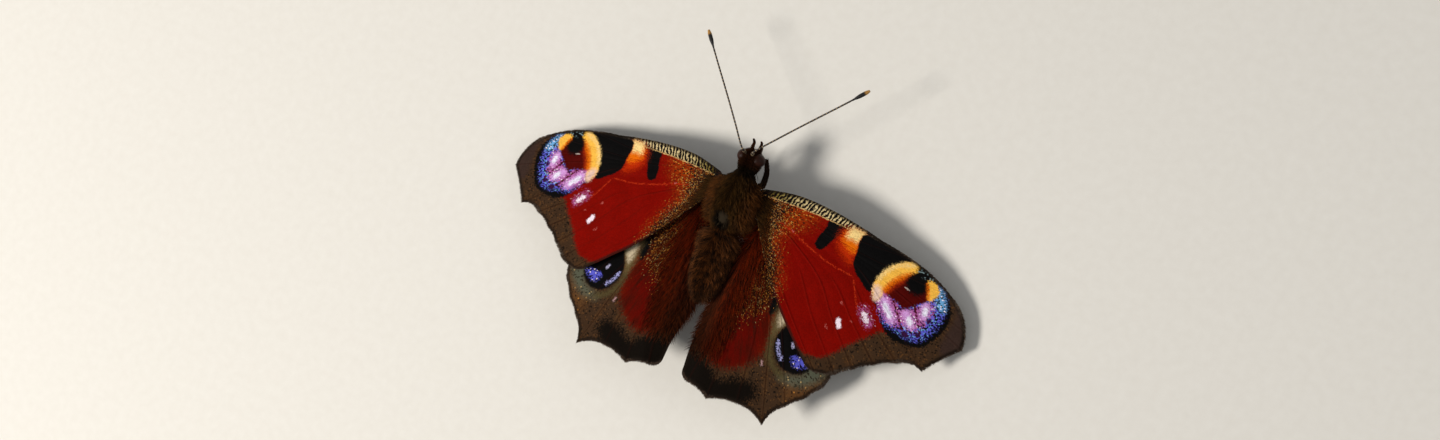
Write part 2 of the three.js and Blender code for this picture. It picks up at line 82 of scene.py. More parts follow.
# Wings, as in the solids: p runs out from the hinge line, q runs back from it, angles in degrees. A vein has
# its name, the share of its length where it rises, how far the margin bows beyond it, and its points.
WING_ROWS = 150
COLUMN_SHARES = (0, 0.03, 0.07, 0.12, 0.2, 0.3, 0.4, 0.5, 0.6, 0.7, 0.8, 0.88, 0.93, 0.97)
BLADE_HALF = 0.05
VEIN_RELIEF = 0.09
VEIN_WIDTH = 0.09
VEIN_BAND = 0.42
CELL_SWELL = 0.05
RIPPLE = 0.03
ROOT_TUCK = 1.2
ROOT_NARROWING = 0.45
FOREWING = dict(
    name="forewing", hinge=(3.1, 0.0, HINGE_HEIGHT), droop=11.5, rise=5.0, camber=0.5, length=28.5,
    trough=None,
    lines=[
        ("costa", 0, 0, [(0, -0.7), (4, -1.4), (8.5, -1.2), (12.6, -0.55)]),
        ("subcosta", 0, 0.06, [(0, -0.35), (4, -0.55), (8.5, -0.45), (14.6, -0.1)]),
        ("radius_1", 0.4, 0.3, [(0, -0.05), (4, 0.25), (9.5, 0.9), (18.4, 0.6)]),
        ("radius_3", 0, 0.42, [(0, 0.15), (4, 0.65), (12, 2), (24.3, 2.95)]),
        ("radius_4", 0.6, 0.1, [(0, 0.3), (4, 0.85), (12.2, 2.5), (20, 4), (27.1, 6.1)]),
        ("radius_5", 0.5, -0.15, [(0, 0.45), (4, 1), (12.2, 2.8), (20, 5.2), (27.4, 8)]),
        ("media_1", 0.42, -0.45, [(0, 0.6), (4, 1.2), (12, 3.2), (18, 7), (24.15, 11.85)]),
        ("media_2", 0.5, -0.2, [(0, 0.85), (4, 1.9), (11.6, 4.4), (16.5, 8.6), (21.2, 12.1)]),
        ("media_3", 0.45, -0.2, [(0, 1.1), (4, 2.7), (10.8, 5.9), (15, 9.8), (18.9, 13.25)]),
        ("cubitus_1", 0, -0.12, [(0, 1.35), (4, 3.1), (9.4, 6.4), (12.8, 10.4), (16.9, 14.6)]),
        ("cubitus_2", 0.35, 0.1, [(0, 1.6), (3.6, 3.3), (6.8, 6.1), (10.5, 10.9), (15.2, 15.9)]),
        ("anal", 0, 0.1, [(0, 2.1), (3.4, 6.2), (7.2, 10.6), (12.9, 16.45)]),
        ("inner_margin", 1, 0, [(0, 2.5), (3.7, 7.9), (6.9, 11.7), (11.6, 16.1)]),
    ],
)
HINDWING = dict(
    name="hindwing", hinge=(2.85, -3.6, HINGE_HEIGHT - 1.1), droop=8.5, rise=3.0, camber=0.3, length=21.0,
    # the strip beside the abdomen dips under it
    trough=dict(depth=2.6, starts=1.5, full=6, rises=10.5, ends=17, left=0.35, crest=0.8, bottom=-1.8),
    lines=[
        ("costa", 1, 0.15, [(0, -0.4), (3.5, -0.5), (8, 2.2), (12, 5.8), (14.6, 9.6)]),
        ("subcosta", 0, 0.1, [(0, -0.1), (4, 0.9), (9, 4.6), (14.9, 11.9)]),
        ("radius", 0, -0.1, [(0, 0.15), (4, 1.9), (8.5, 6.2), (14.5, 14.2)]),
        ("media_1", 0.35, -0.12, [(0, 0.35), (3.8, 2.5), (8, 7.6), (13, 16.2)]),
        ("media_2", 0.4, -0.4, [(0, 0.55), (3.4, 3.1), (7, 8.6), (11.3, 17.8)]),
        ("media_3", 0.35, -0.4, [(0, 0.75), (2.9, 3.8), (5.9, 9.2), (9.65, 20.8)]),
        ("cubitus_1", 0, -0.25, [(0, 0.95), (2.4, 4.2), (4.6, 9.4), (6, 19.6)]),
        ("cubitus_2", 0.3, -0.25, [(0, 1.15), (1.7, 4.4), (2.6, 9.6), (2.5, 20.45)]),
        ("anal", 0, 0.25, [(0, 1.4), (1, 4.6), (0.9, 10), (-0.3, 19.5)]),
        ("inner_margin", 1, 0, [(0, 1.65), (-0.9, 5.2), (-1.75, 9.5), (-1.75, 14.5), (-1.5, 18.6)]),
    ],
)

# Limbs of the right side, as in the solids
ANTENNA = dict(
    seat=("head", 0.75, 72), straight=0.6,
    through=[(2.7, 6.4, 8.4), (4.7, 8.7, 8.1), (8.7, 13.2, 7.5), (10.6, 15.4, 7.2)],
    shaft=0.1, club=0.24, club_from=0.86, segments=38,
)
PALP = dict(seat=("face", 0.46, -0.2), straight=0.2, through=[(0.5, 5.3, 6.5), (0.5, 5.45, 6.9)])
TONGUE = dict(seat=("head", 0.78, -90), radius=0.16, curl=0.7, inner=0.4, turn=225)
FORELEG = dict(
    seat=("thorax", 0.17, -62), straight=0.35, through=[(1.5, 1.9, 3.9), (1.4, 2.8, 4.2), (1.1, 3.7, 4.6)],
    radii=(0.3, 0.27, 0.24, 0.2, 0.16), feet=False,
)
MIDLEG = dict(
    seat=("thorax", 0.4, -52), straight=0.4,
    through=[(3.6, -0.6, 3.95), (5.1, -0.3, 3.9), (6.2, -0.1, 2.4), (6.9, 0, 0.95), (7.5, 0.1, 0.3),
             (8, 0.15, 0.16), (9.2, 0.3, 0.13)],
    radii=(0.42, 0.38, 0.36, 0.24, 0.2, 0.17, 0.14, 0.13, 0.11), feet=True,
)
HINDLEG = dict(
    seat=("thorax", 0.72, -52), straight=0.4,
    through=[(3.1, -5.4, 3.9), (4.3, -7.1, 3.7), (5.1, -9.1, 2.2), (5.6, -10.7, 0.95), (5.9, -11.6, 0.3),
             (6.1, -12.2, 0.16), (6.5, -13.4, 0.13)],
    radii=(0.42, 0.38, 0.36, 0.24, 0.2, 0.17, 0.14, 0.13, 0.11), feet=True,
)

# The origin is under the middle of the outline, so the hinges lie a little ahead of it.
Y_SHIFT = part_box("thorax")[1][1] / MM - THORAX["front"]

# The photograph's camera: its axes, how far its aim lies from the hinges' middle, and its distance
CAMERA = dict(
    right=(0.86129, 0.36874, -0.34960), down=(0.35424, -0.92900, -0.10713), back=(0.36428, 0.03157, 0.93075),
    aim_right=-2.427, aim_down=3.949, away=271.3, lens=58.9,
)


# Colours, as red, green and blue from 0 to 255 on a screen
def screen(red, green, blue):
    def linear(value):
        value = value / 255
        return value / 12.92 if value <= 0.04045 else ((value + 0.055) / 1.055) ** 2.4

    return (linear(red), linear(green), linear(blue), 1.0)


RED = screen(133, 8, 1)
DEEP_RED = screen(89, 7, 1)
EMBER = screen(150, 52, 8)
RUST = screen(98, 28, 6)
AMBER = screen(228, 108, 8)
YELLOW = screen(252, 190, 74)
CREAM = screen(248, 212, 138)
ROSE = screen(232, 196, 178)
PINK_WHITE = screen(250, 232, 242)
LILAC = screen(178, 96, 160)
LAVENDER = screen(92, 94, 206)
SKY = screen(110, 168, 216)
MAROON = screen(76, 8, 5)
PURPLE = screen(54, 20, 58)
BLACK = screen(12, 11, 11)
SOOT = screen(25, 18, 12)
BROWN = screen(62, 43, 28)
WARM_BROWN = screen(90, 59, 32)
RED_BROWN = screen(58, 42, 36)
DARK_BROWN = screen(38, 27, 17)
GREY_BROWN = screen(50, 43, 36)
UMBER = screen(84, 42, 12)
GOLD = screen(190, 124, 48)
STRAW = screen(200, 166, 106)
GREY_GREEN = screen(86, 88, 72)
OLIVE = screen(80, 70, 42)


# Marks of a wing, painted one over the other: name, colour, how soft the edge is, how far its scales
# scatter, and then either None and the points of an outline, or the width of a line and its points, or
# those of several lines.
FOREWING_MARKS = [
    ("orange_root", EMBER, 1.3, 1.6, None,
     [(-1, -1), (3.6, -0.6), (6.6, -0.3), (5.8, 1.4), (4.4, 2.6), (3.6, 4), (4, 5.8), (5.2, 8.3), (4.6, 9.4),
      (0, 7), (-2, 3)]),
    ("dusty_root", UMBER, 0.8, 1.6, None,
     [(-2, -0.8), (1.6, -0.3), (2.3, 1), (2.1, 2.6), (2.5, 4.4), (3.6, 6.6), (4.5, 8.4), (3.6, 9.4), (0, 6.5),
      (-2, 3)]),
    ("dark_root", SOOT, 0.8, 1.6, None,
     [(-2, -0.8), (0.4, -0.3), (0.8, 1), (0.7, 2.4), (1.2, 4), (2.2, 6), (1.6, 7), (0, 5.5), (-2, 3)]),
    ("pale_threads", screen(176, 44, 16), 0.05, 0.15, 0.12,
     [[(2, 2), (5, 2.8), (7, 3.6), (10, 4.5), (13, 4.9)], [(13.3, 5.3), (14.9, 8.2)]]),
    ("wear", screen(186, 92, 84), 0.05, 0.2, 0.14,
     [[(12.9, 8.1), (13.1, 8.35)], [(12.2, 11.1), (12.5, 11.5)], [(4.65, 2.6), (4.8, 2.65)],
      [(14.75, 9.7), (14.85, 9.75)]]),
    ("border", BROWN, 0.25, 0.5, None,
     [(18.6, 9.4), (17.5, 10.4), (16.4, 11.3), (15.3, 12.5), (14.3, 13.8), (13, 14.8), (11.5, 15.1),
      (9.6, 15.1), (9, 18), (16, 19), (24, 16), (30, 10), (30, 4), (26, 1), (22.4, 2), (23.5, 5),
      (22.5, 8.5)]),
    ("apex", RED_BROWN, 0.4, 0.5, None,
     [(25.3, 3.4), (26.4, 4.2), (27.4, 6), (27.6, 8.4), (26.2, 9.4), (25.2, 8.8), (25.3, 7), (25.5, 5)]),
    ("costal_shade", GREY_BROWN, 0.2, 0.35, None,
     [(12.2, -1.2), (15, -1), (19, -0.2), (22, 0.8), (25, 2), (26.6, 3.6), (25.1, 3.5), (23.6, 2.7),
      (21.6, 2), (19.4, 1.6), (17.5, 1.8), (15, 1.5), (12.5, 1.3)]),
    ("costal_edge", screen(116, 106, 94), 0.12, 0.4, 0.26,
     [(19.4, 0.6), (22, 1.4), (24.2, 2.5), (25.4, 3.5)]),
    ("costal_strip", BLACK, 0.05, 0.1, None,
     [(-1, -1.8), (4, -2.2), (9, -2.1), (13, -1.5), (12.9, -0.15), (10.5, -0.02), (6, -0.15), (3, -0.12),
      (0.5, 0), (-1, 0.1)]),
    ("inner_bar", BLACK, 0.06, 0.14, None,
     [(8.15, -0.05), (9.4, -0.12), (10.65, -0.05), (10.3, 0.7), (9.7, 1.4), (9.25, 2.1), (8.95, 2.8),
      (8.55, 3.35), (8.1, 3.45), (7.62, 3.1), (7.62, 2.3), (7.9, 1.4), (8.1, 0.7)]),
    ("patch_fire", screen(186, 44, 4), 0.7, 0.6, None,
     [(10.3, 0.2), (12.4, 0), (12.4, 2.6), (12.2, 3.6), (11.2, 3.2), (10.2, 2.4), (9.9, 1.4)]),
    ("patch_glow", AMBER, 0.4, 0.5, None,
     [(10.7, 0.1), (12.4, 0), (12.35, 1.4), (12.3, 2.3), (11.7, 2.3), (10.9, 1.9), (10.4, 1.3)]),
    ("patch_cream", CREAM, 0.35, 0.35, None,
     [(11, -0.15), (12.45, -0.15), (12.3, 0.5), (12.1, 1.2), (11.4, 1), (10.8, 1.1), (10.7, 0.7)]),
    ("middle_patch", BLACK, 0.06, 0.14, None,
     [(12.55, 0), (14, 0.05), (16, 0.3), (18.6, 0.7), (17.4, 1.7), (16.4, 2.6), (15.9, 3.8), (15.7, 5),
      (15.5, 5.8), (15.1, 5.75), (14.4, 5.3), (13.4, 4.6), (12.8, 4), (12.45, 3.2), (12.4, 2), (12.25, 1)]),
    ("eye_rim", BLACK, 0.07, 0.25, None,
     [(18.4, 0.9), (20.2, 1.25), (22, 1.9), (23.2, 2.7), (24.3, 3.5), (25, 5), (24.95, 6.5), (24.35, 7.8),
      (23.5, 9.2), (22.1, 9.8), (20, 9.85), (18.8, 9.4), (17.9, 8.5), (16.8, 7.2), (16.1, 6.2), (16, 4),
      (16.9, 2.2)]),
    ("eye_blue", LAVENDER, 0.16, 0.7, None,
     [(22.3, 2.3), (23.2, 2.8), (24, 3.8), (24.25, 5), (24.05, 6.6), (23.45, 7.95), (22.65, 8.9), (21.8, 9.1),
      (20.8, 9), (20.2, 8.85), (19.3, 8.8), (18.5, 8.55), (17.5, 7.7), (16.7, 6.7), (17, 5.5), (20, 5),
      (21.8, 4.2), (22.2, 3.2)]),
    ("eye_sky", SKY, 0.3, 0.5, None,
     [(22.5, 2.3), (23.3, 2.9), (24, 3.9), (24.2, 4.7), (23.5, 4.8), (22.8, 4)]),
    ("eye_lilac", LILAC, 0.2, 0.75, None,
     [(16.2, 5.6), (17.2, 5), (18.3, 5.4), (19.4, 6), (20.4, 5.9), (21.2, 5.2), (22, 4.5), (22.7, 4.6),
      (22.9, 5.7), (22.6, 6.8), (22.2, 7.6), (21.5, 8.1), (20.6, 7.9), (19.7, 8.2), (18.8, 8.3), (17.8, 7.8),
      (16.8, 6.9)]),
    ("eye_pinks", screen(212, 156, 218), 0.3, 0.4, 0.9,
     [[(17.3, 6.1), (18.1, 6.9), (18.9, 7.8)], [(20.2, 6.6), (21.2, 7.6)], [(22, 4.9), (22.2, 6.1)]]),
    ("eye_whites", screen(238, 232, 248), 0.16, 0.25, 0.56,
     [[(17.6, 6.5), (18.1, 7), (18.6, 7.5)], [(20.7, 7), (21.1, 7.45)], [(22.1, 5.3), (22.2, 5.8)]]),
    ("eye_centre", MAROON, 0.12, 0.3, None,
     [(18.6, 2.6), (19.6, 2.1), (21.2, 2.6), (21.9, 3.5), (21.9, 4.3), (21.2, 5), (20.4, 5.8), (19.6, 6.1),
      (18.4, 5.6), (17, 5.2), (17.3, 4.4), (17.9, 3.6)]),
    ("eye_lines", MAROON, 0.05, 0.08, 0.22,
     [[(18.2, 5.6), (19, 6.5), (19.8, 7.6), (20.7, 8.7)], [(20.8, 5.4), (21.8, 7), (22.7, 8.5)]]),
    ("eye_blots", PURPLE, 0.1, 0.25, 0.5,
     [[(20.8, 8.75), (21.2, 8.8)], [(22.1, 8.3), (22.4, 8.35)], [(22.9, 6.3), (22.95, 6.5)]]),
    ("eye_crescent", YELLOW, 0.1, 0.2, None,
     [(19.5, 0.95), (18.5, 0.9), (17.3, 1.6), (16.4, 2.5), (15.85, 3.6), (15.55, 4.8), (15.75, 5.8),
      (16.3, 6.5), (16.9, 5.9), (16.9, 5.1), (17.3, 4.2), (17.9, 3.3), (18.7, 2.6), (19.5, 2.1),
      (19.9, 1.5)]),
    ("crescent_cream", CREAM, 0.3, 0.3, 0.4, [(19.1, 1.1), (17.6, 1.7), (16.5, 2.7), (15.9, 4)]),
    ("crescent_glow", screen(168, 44, 6), 0.4, 0.3, 0.5,
     [(17.3, 5), (17.6, 4.3), (18.2, 3.4), (18.9, 2.8), (19.3, 2.5)]),
    ("crescent_amber", AMBER, 0.3, 0.3, 0.5,
     [(16.95, 5), (17.25, 4.2), (17.85, 3.3), (18.6, 2.6), (19.3, 2.2)]),
    ("crescent_rose", ROSE, 0.35, 0.3, None,
     [(15.7, 4.9), (16.2, 4.8), (16.7, 5.3), (16.9, 6), (16.5, 6.5), (16, 6.2)]),
    ("eye_pupil", BLACK, 0.28, 0.35, None,
     [(18.9, 2.6), (19.6, 1.8), (20.8, 1.7), (21.4, 2.5), (21.35, 3.5), (20.7, 4.2), (19.6, 4.1),
      (18.9, 3.4)]),
    ("eye_frost", BLACK, 0.15, 0.3, None,
     [(19.6, 1.2), (21.2, 1.4), (22.4, 2.1), (21.6, 2.4), (20.6, 2), (19.8, 1.8)]),
    ("eye_tick", screen(190, 176, 166), 0.05, 0.1, 0.12, [(19.0, 3.8), (19.55, 3.98)]),
    ("eye_yellow", YELLOW, 0.1, 0.25, None,
     [(21.1, 2.15), (21.9, 2.1), (22.55, 2.5), (22.85, 3.1), (22.5, 3.9), (22, 4.35), (21.65, 3.7),
      (21.5, 2.9)]),
    ("eye_amber", AMBER, 0.18, 0.25, 0.26, [(21.2, 2.5), (21.55, 3.2), (21.9, 4.1)]),
    ("outer_halo", screen(176, 92, 146), 0.3, 0.7, 0.85, [(15.6, 8), (16.1, 8.6), (16.7, 9.2)]),
    ("outer_dot", PINK_WHITE, 0.14, 0.2, 0.46, [(15.8, 8.35), (16.1, 8.7), (16.4, 9)]),
    ("inner_dot", PINK_WHITE, 0.12, 0.2, 0.54, [(13.4, 10.1), (13.55, 10.45), (13.7, 10.75)]),
    ("costal_thread", screen(212, 172, 110), 0.04, 0.1, 0.1,
     [(0.8, -0.02), (3, -0.12), (6, -0.14), (9, -0.02), (10.8, 0.06)]),
]
HINDWING_MARKS = [
    ("ruddy", DEEP_RED, 1.6, 1.2, None,
     [(1.2, 8), (3.4, 6.8), (5.4, 8.4), (6.5, 10.8), (6.8, 12.6), (6.2, 14.8), (5, 16), (4, 16.8), (2, 17),
      (0.4, 16), (0, 12.5), (0.4, 10)]),
    ("dusty_root", UMBER, 1.4, 2.2, None,
     [(-0.6, -2), (5, -1), (5.4, 3), (5.2, 6), (4.2, 8), (2.4, 8.8), (1, 8), (-0.2, 6)]),
    ("pale_fold", screen(150, 104, 64), 0.08, 0.25, 0.14, [(0.3, 1), (0.25, 6), (0.05, 11)]),
    ("inner_strip", screen(44, 26, 15), 0.35, 0.8, None,
     [(-3.2, 0.5), (-0.1, 1), (0.05, 6), (-0.1, 11), (-0.5, 15), (-0.3, 19.6), (-3.2, 20)]),
    ("border", BROWN, 0.4, 0.9, None,
     [(-2, 15.8), (0.4, 15.6), (1.8, 16.6), (3.6, 16.5), (5.2, 15.6), (6.3, 14.4), (6.9, 12.8), (7, 11),
      (8.5, 9), (12, 9), (17, 10), (16, 16), (11, 21), (5, 22), (-3, 22)]),
    ("border_shade", screen(17, 12, 8), 0.5, 1.2, None,
     [(-2, 16.4), (0.4, 16.2), (1.9, 17.2), (3.2, 17.8), (5, 17), (7, 16.8), (7.8, 18), (6.8, 19.6), (3, 22),
      (-2, 21)]),
    ("warm_border", WARM_BROWN, 0.6, 0.9, None,
     [(10.4, 14.7), (12.6, 13.9), (14, 13), (14.4, 14.4), (12.8, 16.6), (11.4, 17), (10.6, 16)]),
    # grey-green field round the eye: partly the wing's own grey, partly a painted sheen
    ("pale_field_and_sheen", GREY_GREEN, 0.8, 0.5, None,
     [(12.2, 12.2), (14.4, 11.8), (14, 13.6), (12.6, 14.9), (10.9, 15.4), (9.4, 15), (10.4, 14.5),
      (11.8, 13.8)]),
    ("cream_trail", OLIVE, 0.5, 0.5, 0.5, [(7.1, 9.5), (7, 11), (7.3, 12.8), (8.4, 14.2), (9.8, 14.9)]),
    ("bar", BLACK, 0.2, 0.3, None,
     [(5.4, 5.6), (6.3, 6.3), (6.6, 7.3), (6.3, 8.4), (5.8, 8.9), (5.4, 8.2), (5.3, 7)]),
    # the pale patch and its darker rim: partly their own cream, partly dimmed as painted shadow of the
    # forewing over them
    ("cream_rim_and_shadow", screen(104, 88, 56), 0.6, 0.4, None,
     [(6.4, 6.8), (7.8, 7.4), (8.6, 8.6), (8, 9.6), (7.5, 10.4), (7.15, 10.9), (6.7, 10.2), (6.4, 9),
      (6.5, 7.8)]),
    ("cream_patch_and_shadow", screen(208, 190, 158), 0.45, 0.3, None,
     [(6.9, 7.4), (7.6, 7.8), (8, 8.6), (7.7, 9.2), (7.3, 9.7), (7, 9.2), (6.9, 8.4)]),
    ("eye_black", BLACK, 0.12, 0.22, None,
     [(8.6, 8.6), (9.8, 9.6), (11.4, 10.8), (12.6, 12), (12.5, 12.9), (12, 13.6), (11.1, 14.1), (9.9, 14.15),
      (8.8, 13.75), (8, 12.8), (7.55, 11.7), (7.6, 10.3)]),
    ("eye_arc", screen(168, 166, 218), 0.1, 0.35, 0.3, [(7.9, 11.3), (8.25, 12.3), (8.95, 13.1)]),
    ("eye_patch", LAVENDER, 0.15, 0.4, None,
     [(10, 12.3), (11.2, 12.1), (12.3, 12.4), (11.8, 13), (11, 13.4), (10.3, 13.1)]),
    ("eye_dot", screen(176, 170, 200), 0.08, 0.25, 0.26, [(9.5, 11), (9.7, 11.3)]),
    ("border_dot", screen(176, 138, 138), 0.08, 0.25, 0.2, [(6.95, 14.1), (7.1, 14.6)]),
]
WINGS = ((FOREWING, FOREWING_MARKS), (HINDWING, HINDWING_MARKS))
# Odd scales strewn over a mark: their colours, each with the share of the scales that have it
STREWN = {
    "orange_root": [(GOLD, 0.09), (SOOT, 0.2)],
    "dusty_root": [(GOLD, 0.14), (BLACK, 0.42)],
    "dark_root": [(GOLD, 0.12), (BLACK, 0.4)],
    "inner_strip": [(UMBER, 0.2), (SOOT, 0.3)],
    "eye_blue": [(SKY, 0.1), (BLACK, 0.4)],
    "eye_sky": [(PINK_WHITE, 0.1), (BLACK, 0.22)],
    "eye_lilac": [(PINK_WHITE, 0.05), (PURPLE, 0.16)],
    "eye_frost": [(screen(120, 140, 142), 0.34), (BLACK, 0.1)],
    "outer_halo": [(PINK_WHITE, 0.12), (RED, 0.24)],
    "eye_patch": [(PINK_WHITE, 0.1), (BLACK, 0.28)],
    "pale_field_and_sheen": [(STRAW, 0.02), (DARK_BROWN, 0.12)],
    "warm_border": [(GOLD, 0.02), (DARK_BROWN, 0.12)],
    "border": [(WARM_BROWN, 0.05), (SOOT, 0.1)],
    "costal_shade": [(screen(96, 86, 74), 0.06), (BLACK, 0.14)],
}


# Small helpers for numbers and curves
def lerp(a, b, t):
    return a + (b - a) * t


def smoothstep(x, low, high):
    t = np.clip((x - low) / (high - low), 0, 1)
    return t * t * (3 - 2 * t)


def bell(x, width, power=2):
    """1 at zero, and nearly 0 from about twice the width on."""
    return np.exp(-((x / width) ** power))


def unit(vectors):
    vectors = np.asarray(vectors, float)
    return vectors / np.maximum(np.linalg.norm(vectors, axis=-1, keepdims=True), 1e-9)


def columns_of(*values):
    """An array with a column for each value; a plain number fills its column."""
    return np.column_stack(np.broadcast_arrays(*values))


def circle(sides):
    """Angles round a circle."""
    return 2 * np.pi * np.arange(sides) / sides


def spline(points, centripetal=False, closed=False, steps=40):
    """Many points on the smooth curve through a few points."""
    points = np.asarray(points, float)
    if closed:
        padded = np.vstack([points[-1], points, points[:2]])
    elif centripetal:
        padded = np.vstack([2 * points[0] - points[1], points, 2 * points[-1] - points[-2]])
    else:
        padded = np.vstack([points[0], points, points[-1]])
    t = np.linspace(0, 1, steps, endpoint=False)[:, None]
    power = 0.5 if centripetal else 0.0
    pieces = []
    for i in range(1, len(padded) - 2):
        a, b, c, d = padded[i - 1], padded[i], padded[i + 1], padded[i + 2]
        before, here, after = (max(np.linalg.norm(v), 1e-6) ** power for v in (b - a, c - b, d - c))
        slope_b = (b - a) / before - (c - a) / (before + here) + (c - b) / here
        slope_c = (c - b) / here - (d - b) / (here + after) + (d - c) / after
        slope_b = slope_b * here
        slope_c = slope_c * here
        cubic = 2 * b - 2 * c + slope_b + slope_c
        square = -3 * b + 3 * c - 2 * slope_b - slope_c
        pieces.append(cubic * t**3 + square * t**2 + slope_b * t + b)
    if not closed:
        pieces.append(points[-1:])
    return np.vstack(pieces)


def at_shares(curve, shares):
    """Points at shares of a curve's length."""
    steps = np.linalg.norm(np.diff(curve, axis=0), axis=1)
    travelled = np.concatenate([[0], np.cumsum(steps)]) / steps.sum()
    return np.stack([np.interp(shares, travelled, curve[:, k]) for k in range(curve.shape[1])], axis=1)


def distance_to(places, line):
    """How far each place lies from an open line of points."""
    nearest = np.full(len(places), np.inf)
    for start, end in zip(line[:-1], line[1:]):
        along = end - start
        offset = places - start
        share = np.clip(offset @ along / max(along @ along, 1e-12), 0, 1)
        nearest = np.minimum(nearest, np.hypot(*(offset - share[:, None] * along).T))
    return nearest


def depth_inside(places, outline):
    """How deep each place lies inside a closed outline; negative outside it."""
    closed = np.vstack([outline, outline[:1]])
    crossings = np.zeros(len(places), int)
    for start, end in zip(closed[:-1], closed[1:]):
        along = end - start
        spans = (start[1] > places[:, 1]) != (end[1] > places[:, 1])
        if abs(along[1]) > 1e-12:
            hit = start[0] + (places[:, 1] - start[1]) / along[1] * along[0]
            crossings += spans & (places[:, 0] < hit)
    return distance_to(places, closed) * np.where(crossings % 2 == 1, 1, -1)


# Meshes
def new_object(name, data):
    made = bpy.data.objects.new(name, data)
    bpy.context.scene.collection.objects.link(made)
    return made


def remove(target):
    bpy.data.objects.remove(target, do_unlink=True)


def metres(points, side=1.0):
    """Points of the right side of the animal, on the side asked for, in metres of the shared frame."""
    moved = np.array(points, float).reshape(-1, 3)
    moved[:, 0] *= side
    moved[:, 1] += Y_SHIFT
    return moved * MM


def mesh_object(name, points, faces, side=1.0):
    """A mesh object from points in millimetres; the faces turn round on the left side to stay outwards."""
    mesh = bpy.data.meshes.new(name)
    faces = np.asarray(faces, int)
    if side < 0:
        faces = faces[:, ::-1]
    mesh.vertices.add(len(points))
    mesh.vertices.foreach_set("co", metres(points, side).ravel())
    mesh.loops.add(faces.size)
    mesh.loops.foreach_set("vertex_index", faces.ravel())
    mesh.polygons.add(len(faces))
    mesh.polygons.foreach_set("loop_start", np.arange(0, faces.size, faces.shape[1]))
    mesh.update(calc_edges=True)
    mesh.validate()
    mesh.shade_smooth()
    return new_object(name, mesh)


def set_numbers(target, name, values):
    attribute = target.data.attributes.new(name, "FLOAT", "POINT")
    attribute.data.foreach_set("value", np.asarray(values, np.float32).ravel())


def set_vectors(target, name, values):
    attribute = target.data.attributes.new(name, "FLOAT_VECTOR", "POINT")
    attribute.data.foreach_set("vector", np.asarray(values, np.float32).ravel())


def corner_vertices(mesh):
    corners = np.empty(len(mesh.loops), int)
    mesh.loops.foreach_get("vertex_index", corners)
    return corners


def set_unwrap(target, name, shares):
    """A UV map from one (u, v) for each vertex."""
    layer = target.data.uv_layers.new(name=name)
    layer.uv.foreach_set("vector", np.asarray(shares, np.float32)[corner_vertices(target.data)].ravel())


def vertex_places(target):
    """Where a mesh's vertices are, in millimetres of the animal, and their normals."""
    count = len(target.data.vertices)
    places = np.empty(count * 3, np.float32)
    target.data.vertices.foreach_get("co", places)
    places = places.reshape(-1, 3) / MM
    places[:, 1] -= Y_SHIFT
    normals = np.empty(count * 3, np.float32)
    target.data.vertex_normals.foreach_get("vector", normals)
    return places, normals.reshape(-1, 3)


def unwrap_limb(limb, along):
    """A UV map that runs round a limb and along it."""
    _, normals = vertex_places(limb)
    around = np.arctan2(normals[:, 2], normals[:, 0]) / (2 * np.pi) + 0.5
    set_unwrap(limb, "skin_unwrap", np.column_stack([0.02 + 0.95 * around, 0.02 + 0.95 * along]))


def grid_faces(rows, columns, around=False, start=0):
    """Triangles of a grid of points, closed round its columns where asked."""
    i, j = np.meshgrid(np.arange(rows - 1), np.arange(columns if around else columns - 1), indexing="ij")
    i = i.ravel()
    j = j.ravel()
    after = (j + 1) % columns
    a = start + i * columns + j
    b = start + i * columns + after
    c = start + (i + 1) * columns + after
    d = start + (i + 1) * columns + j
    return np.vstack([np.stack([a, b, c], axis=1), np.stack([a, c, d], axis=1)])


def closed_faces(rings, sides):
    """Triangles of a row of rings, closed by two more points: one for the first ring and one for the last."""
    j = np.arange(sides)
    after = (j + 1) % sides
    first = rings * sides
    last = first - sides
    start_cap = np.stack([np.full(sides, first), after, j], axis=1)
    end_cap = np.stack([np.full(sides, first + 1), last + j, last + after], axis=1)
    return np.vstack([grid_faces(rings, sides, around=True), start_cap, end_cap])


def tube(line, radii, sides):
    """Points and triangles of a round limb along a line, closed at both ends, with the share along it."""
    line = np.asarray(line, float)
    radii = np.broadcast_to(radii, len(line))
    along = unit(np.gradient(line, axis=0))
    across = unit(np.cross(along[0], (0.0, 0.0, 1.0)))
    angles = circle(sides)[:, None]
    rings = []
    for i, middle in enumerate(line):
        across = unit(across - along[i] * (across @ along[i]))
        up = np.cross(across, along[i])
        rings.append(middle + radii[i] * (np.cos(angles) * across - np.sin(angles) * up))
    points = np.vstack(rings + [line[:1], line[-1:]])
    shares = np.repeat(np.linspace(0, 1, len(line)), sides)
    return points, closed_faces(len(line), sides), np.concatenate([shares, [0, 1]])


def join(parts):
    """Points, triangles and shares of several tubes as one."""
    points, faces, shares = [], [], []
    count = 0
    for part_points, part_faces, part_shares in parts:
        points.append(part_points)
        faces.append(part_faces + count)
        shares.append(part_shares)
        count += len(part_points)
    return np.vstack(points), np.vstack(faces), np.concatenate(shares)


def turn_outwards(target):
    """Recalculates the normals of a closed mesh so that its faces point out."""
    work = bmesh.new()
    work.from_mesh(target.data)
    bmesh.ops.recalc_face_normals(work, faces=work.faces)
    work.to_mesh(target.data)
    work.free()


def finish_piece(piece, replaced=()):
    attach(piece, "root")
    if replaced:
        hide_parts(*replaced)
    return piece


def closed_piece(name, points, faces, side, material, slot, node, **numbers):
    """A closed piece of one material in the place of a node, with numbers for its vertices."""
    piece = mesh_object(name, points, faces, side)
    turn_outwards(piece)
    piece.data.materials.append(MATERIALS[material])
    for label, values in numbers.items():
        set_numbers(piece, label, values)
    return finish_piece(piece, [node])


# Node trees
class Wire:
    """What a node gives; sums and products of wires add the nodes that work them out."""

    def __init__(self, nodes, socket):
        self.nodes = nodes
        self.socket = socket

    def __add__(self, other):
        return self.nodes.math("ADD", self, other)

    def __sub__(self, other):
        return self.nodes.math("SUBTRACT", self, other)

    def __rsub__(self, other):
        return self.nodes.math("SUBTRACT", other, self)

    def __mul__(self, other):
        return self.nodes.math("MULTIPLY", self, other)

    def __truediv__(self, other):
        return self.nodes.math("DIVIDE", self, other)


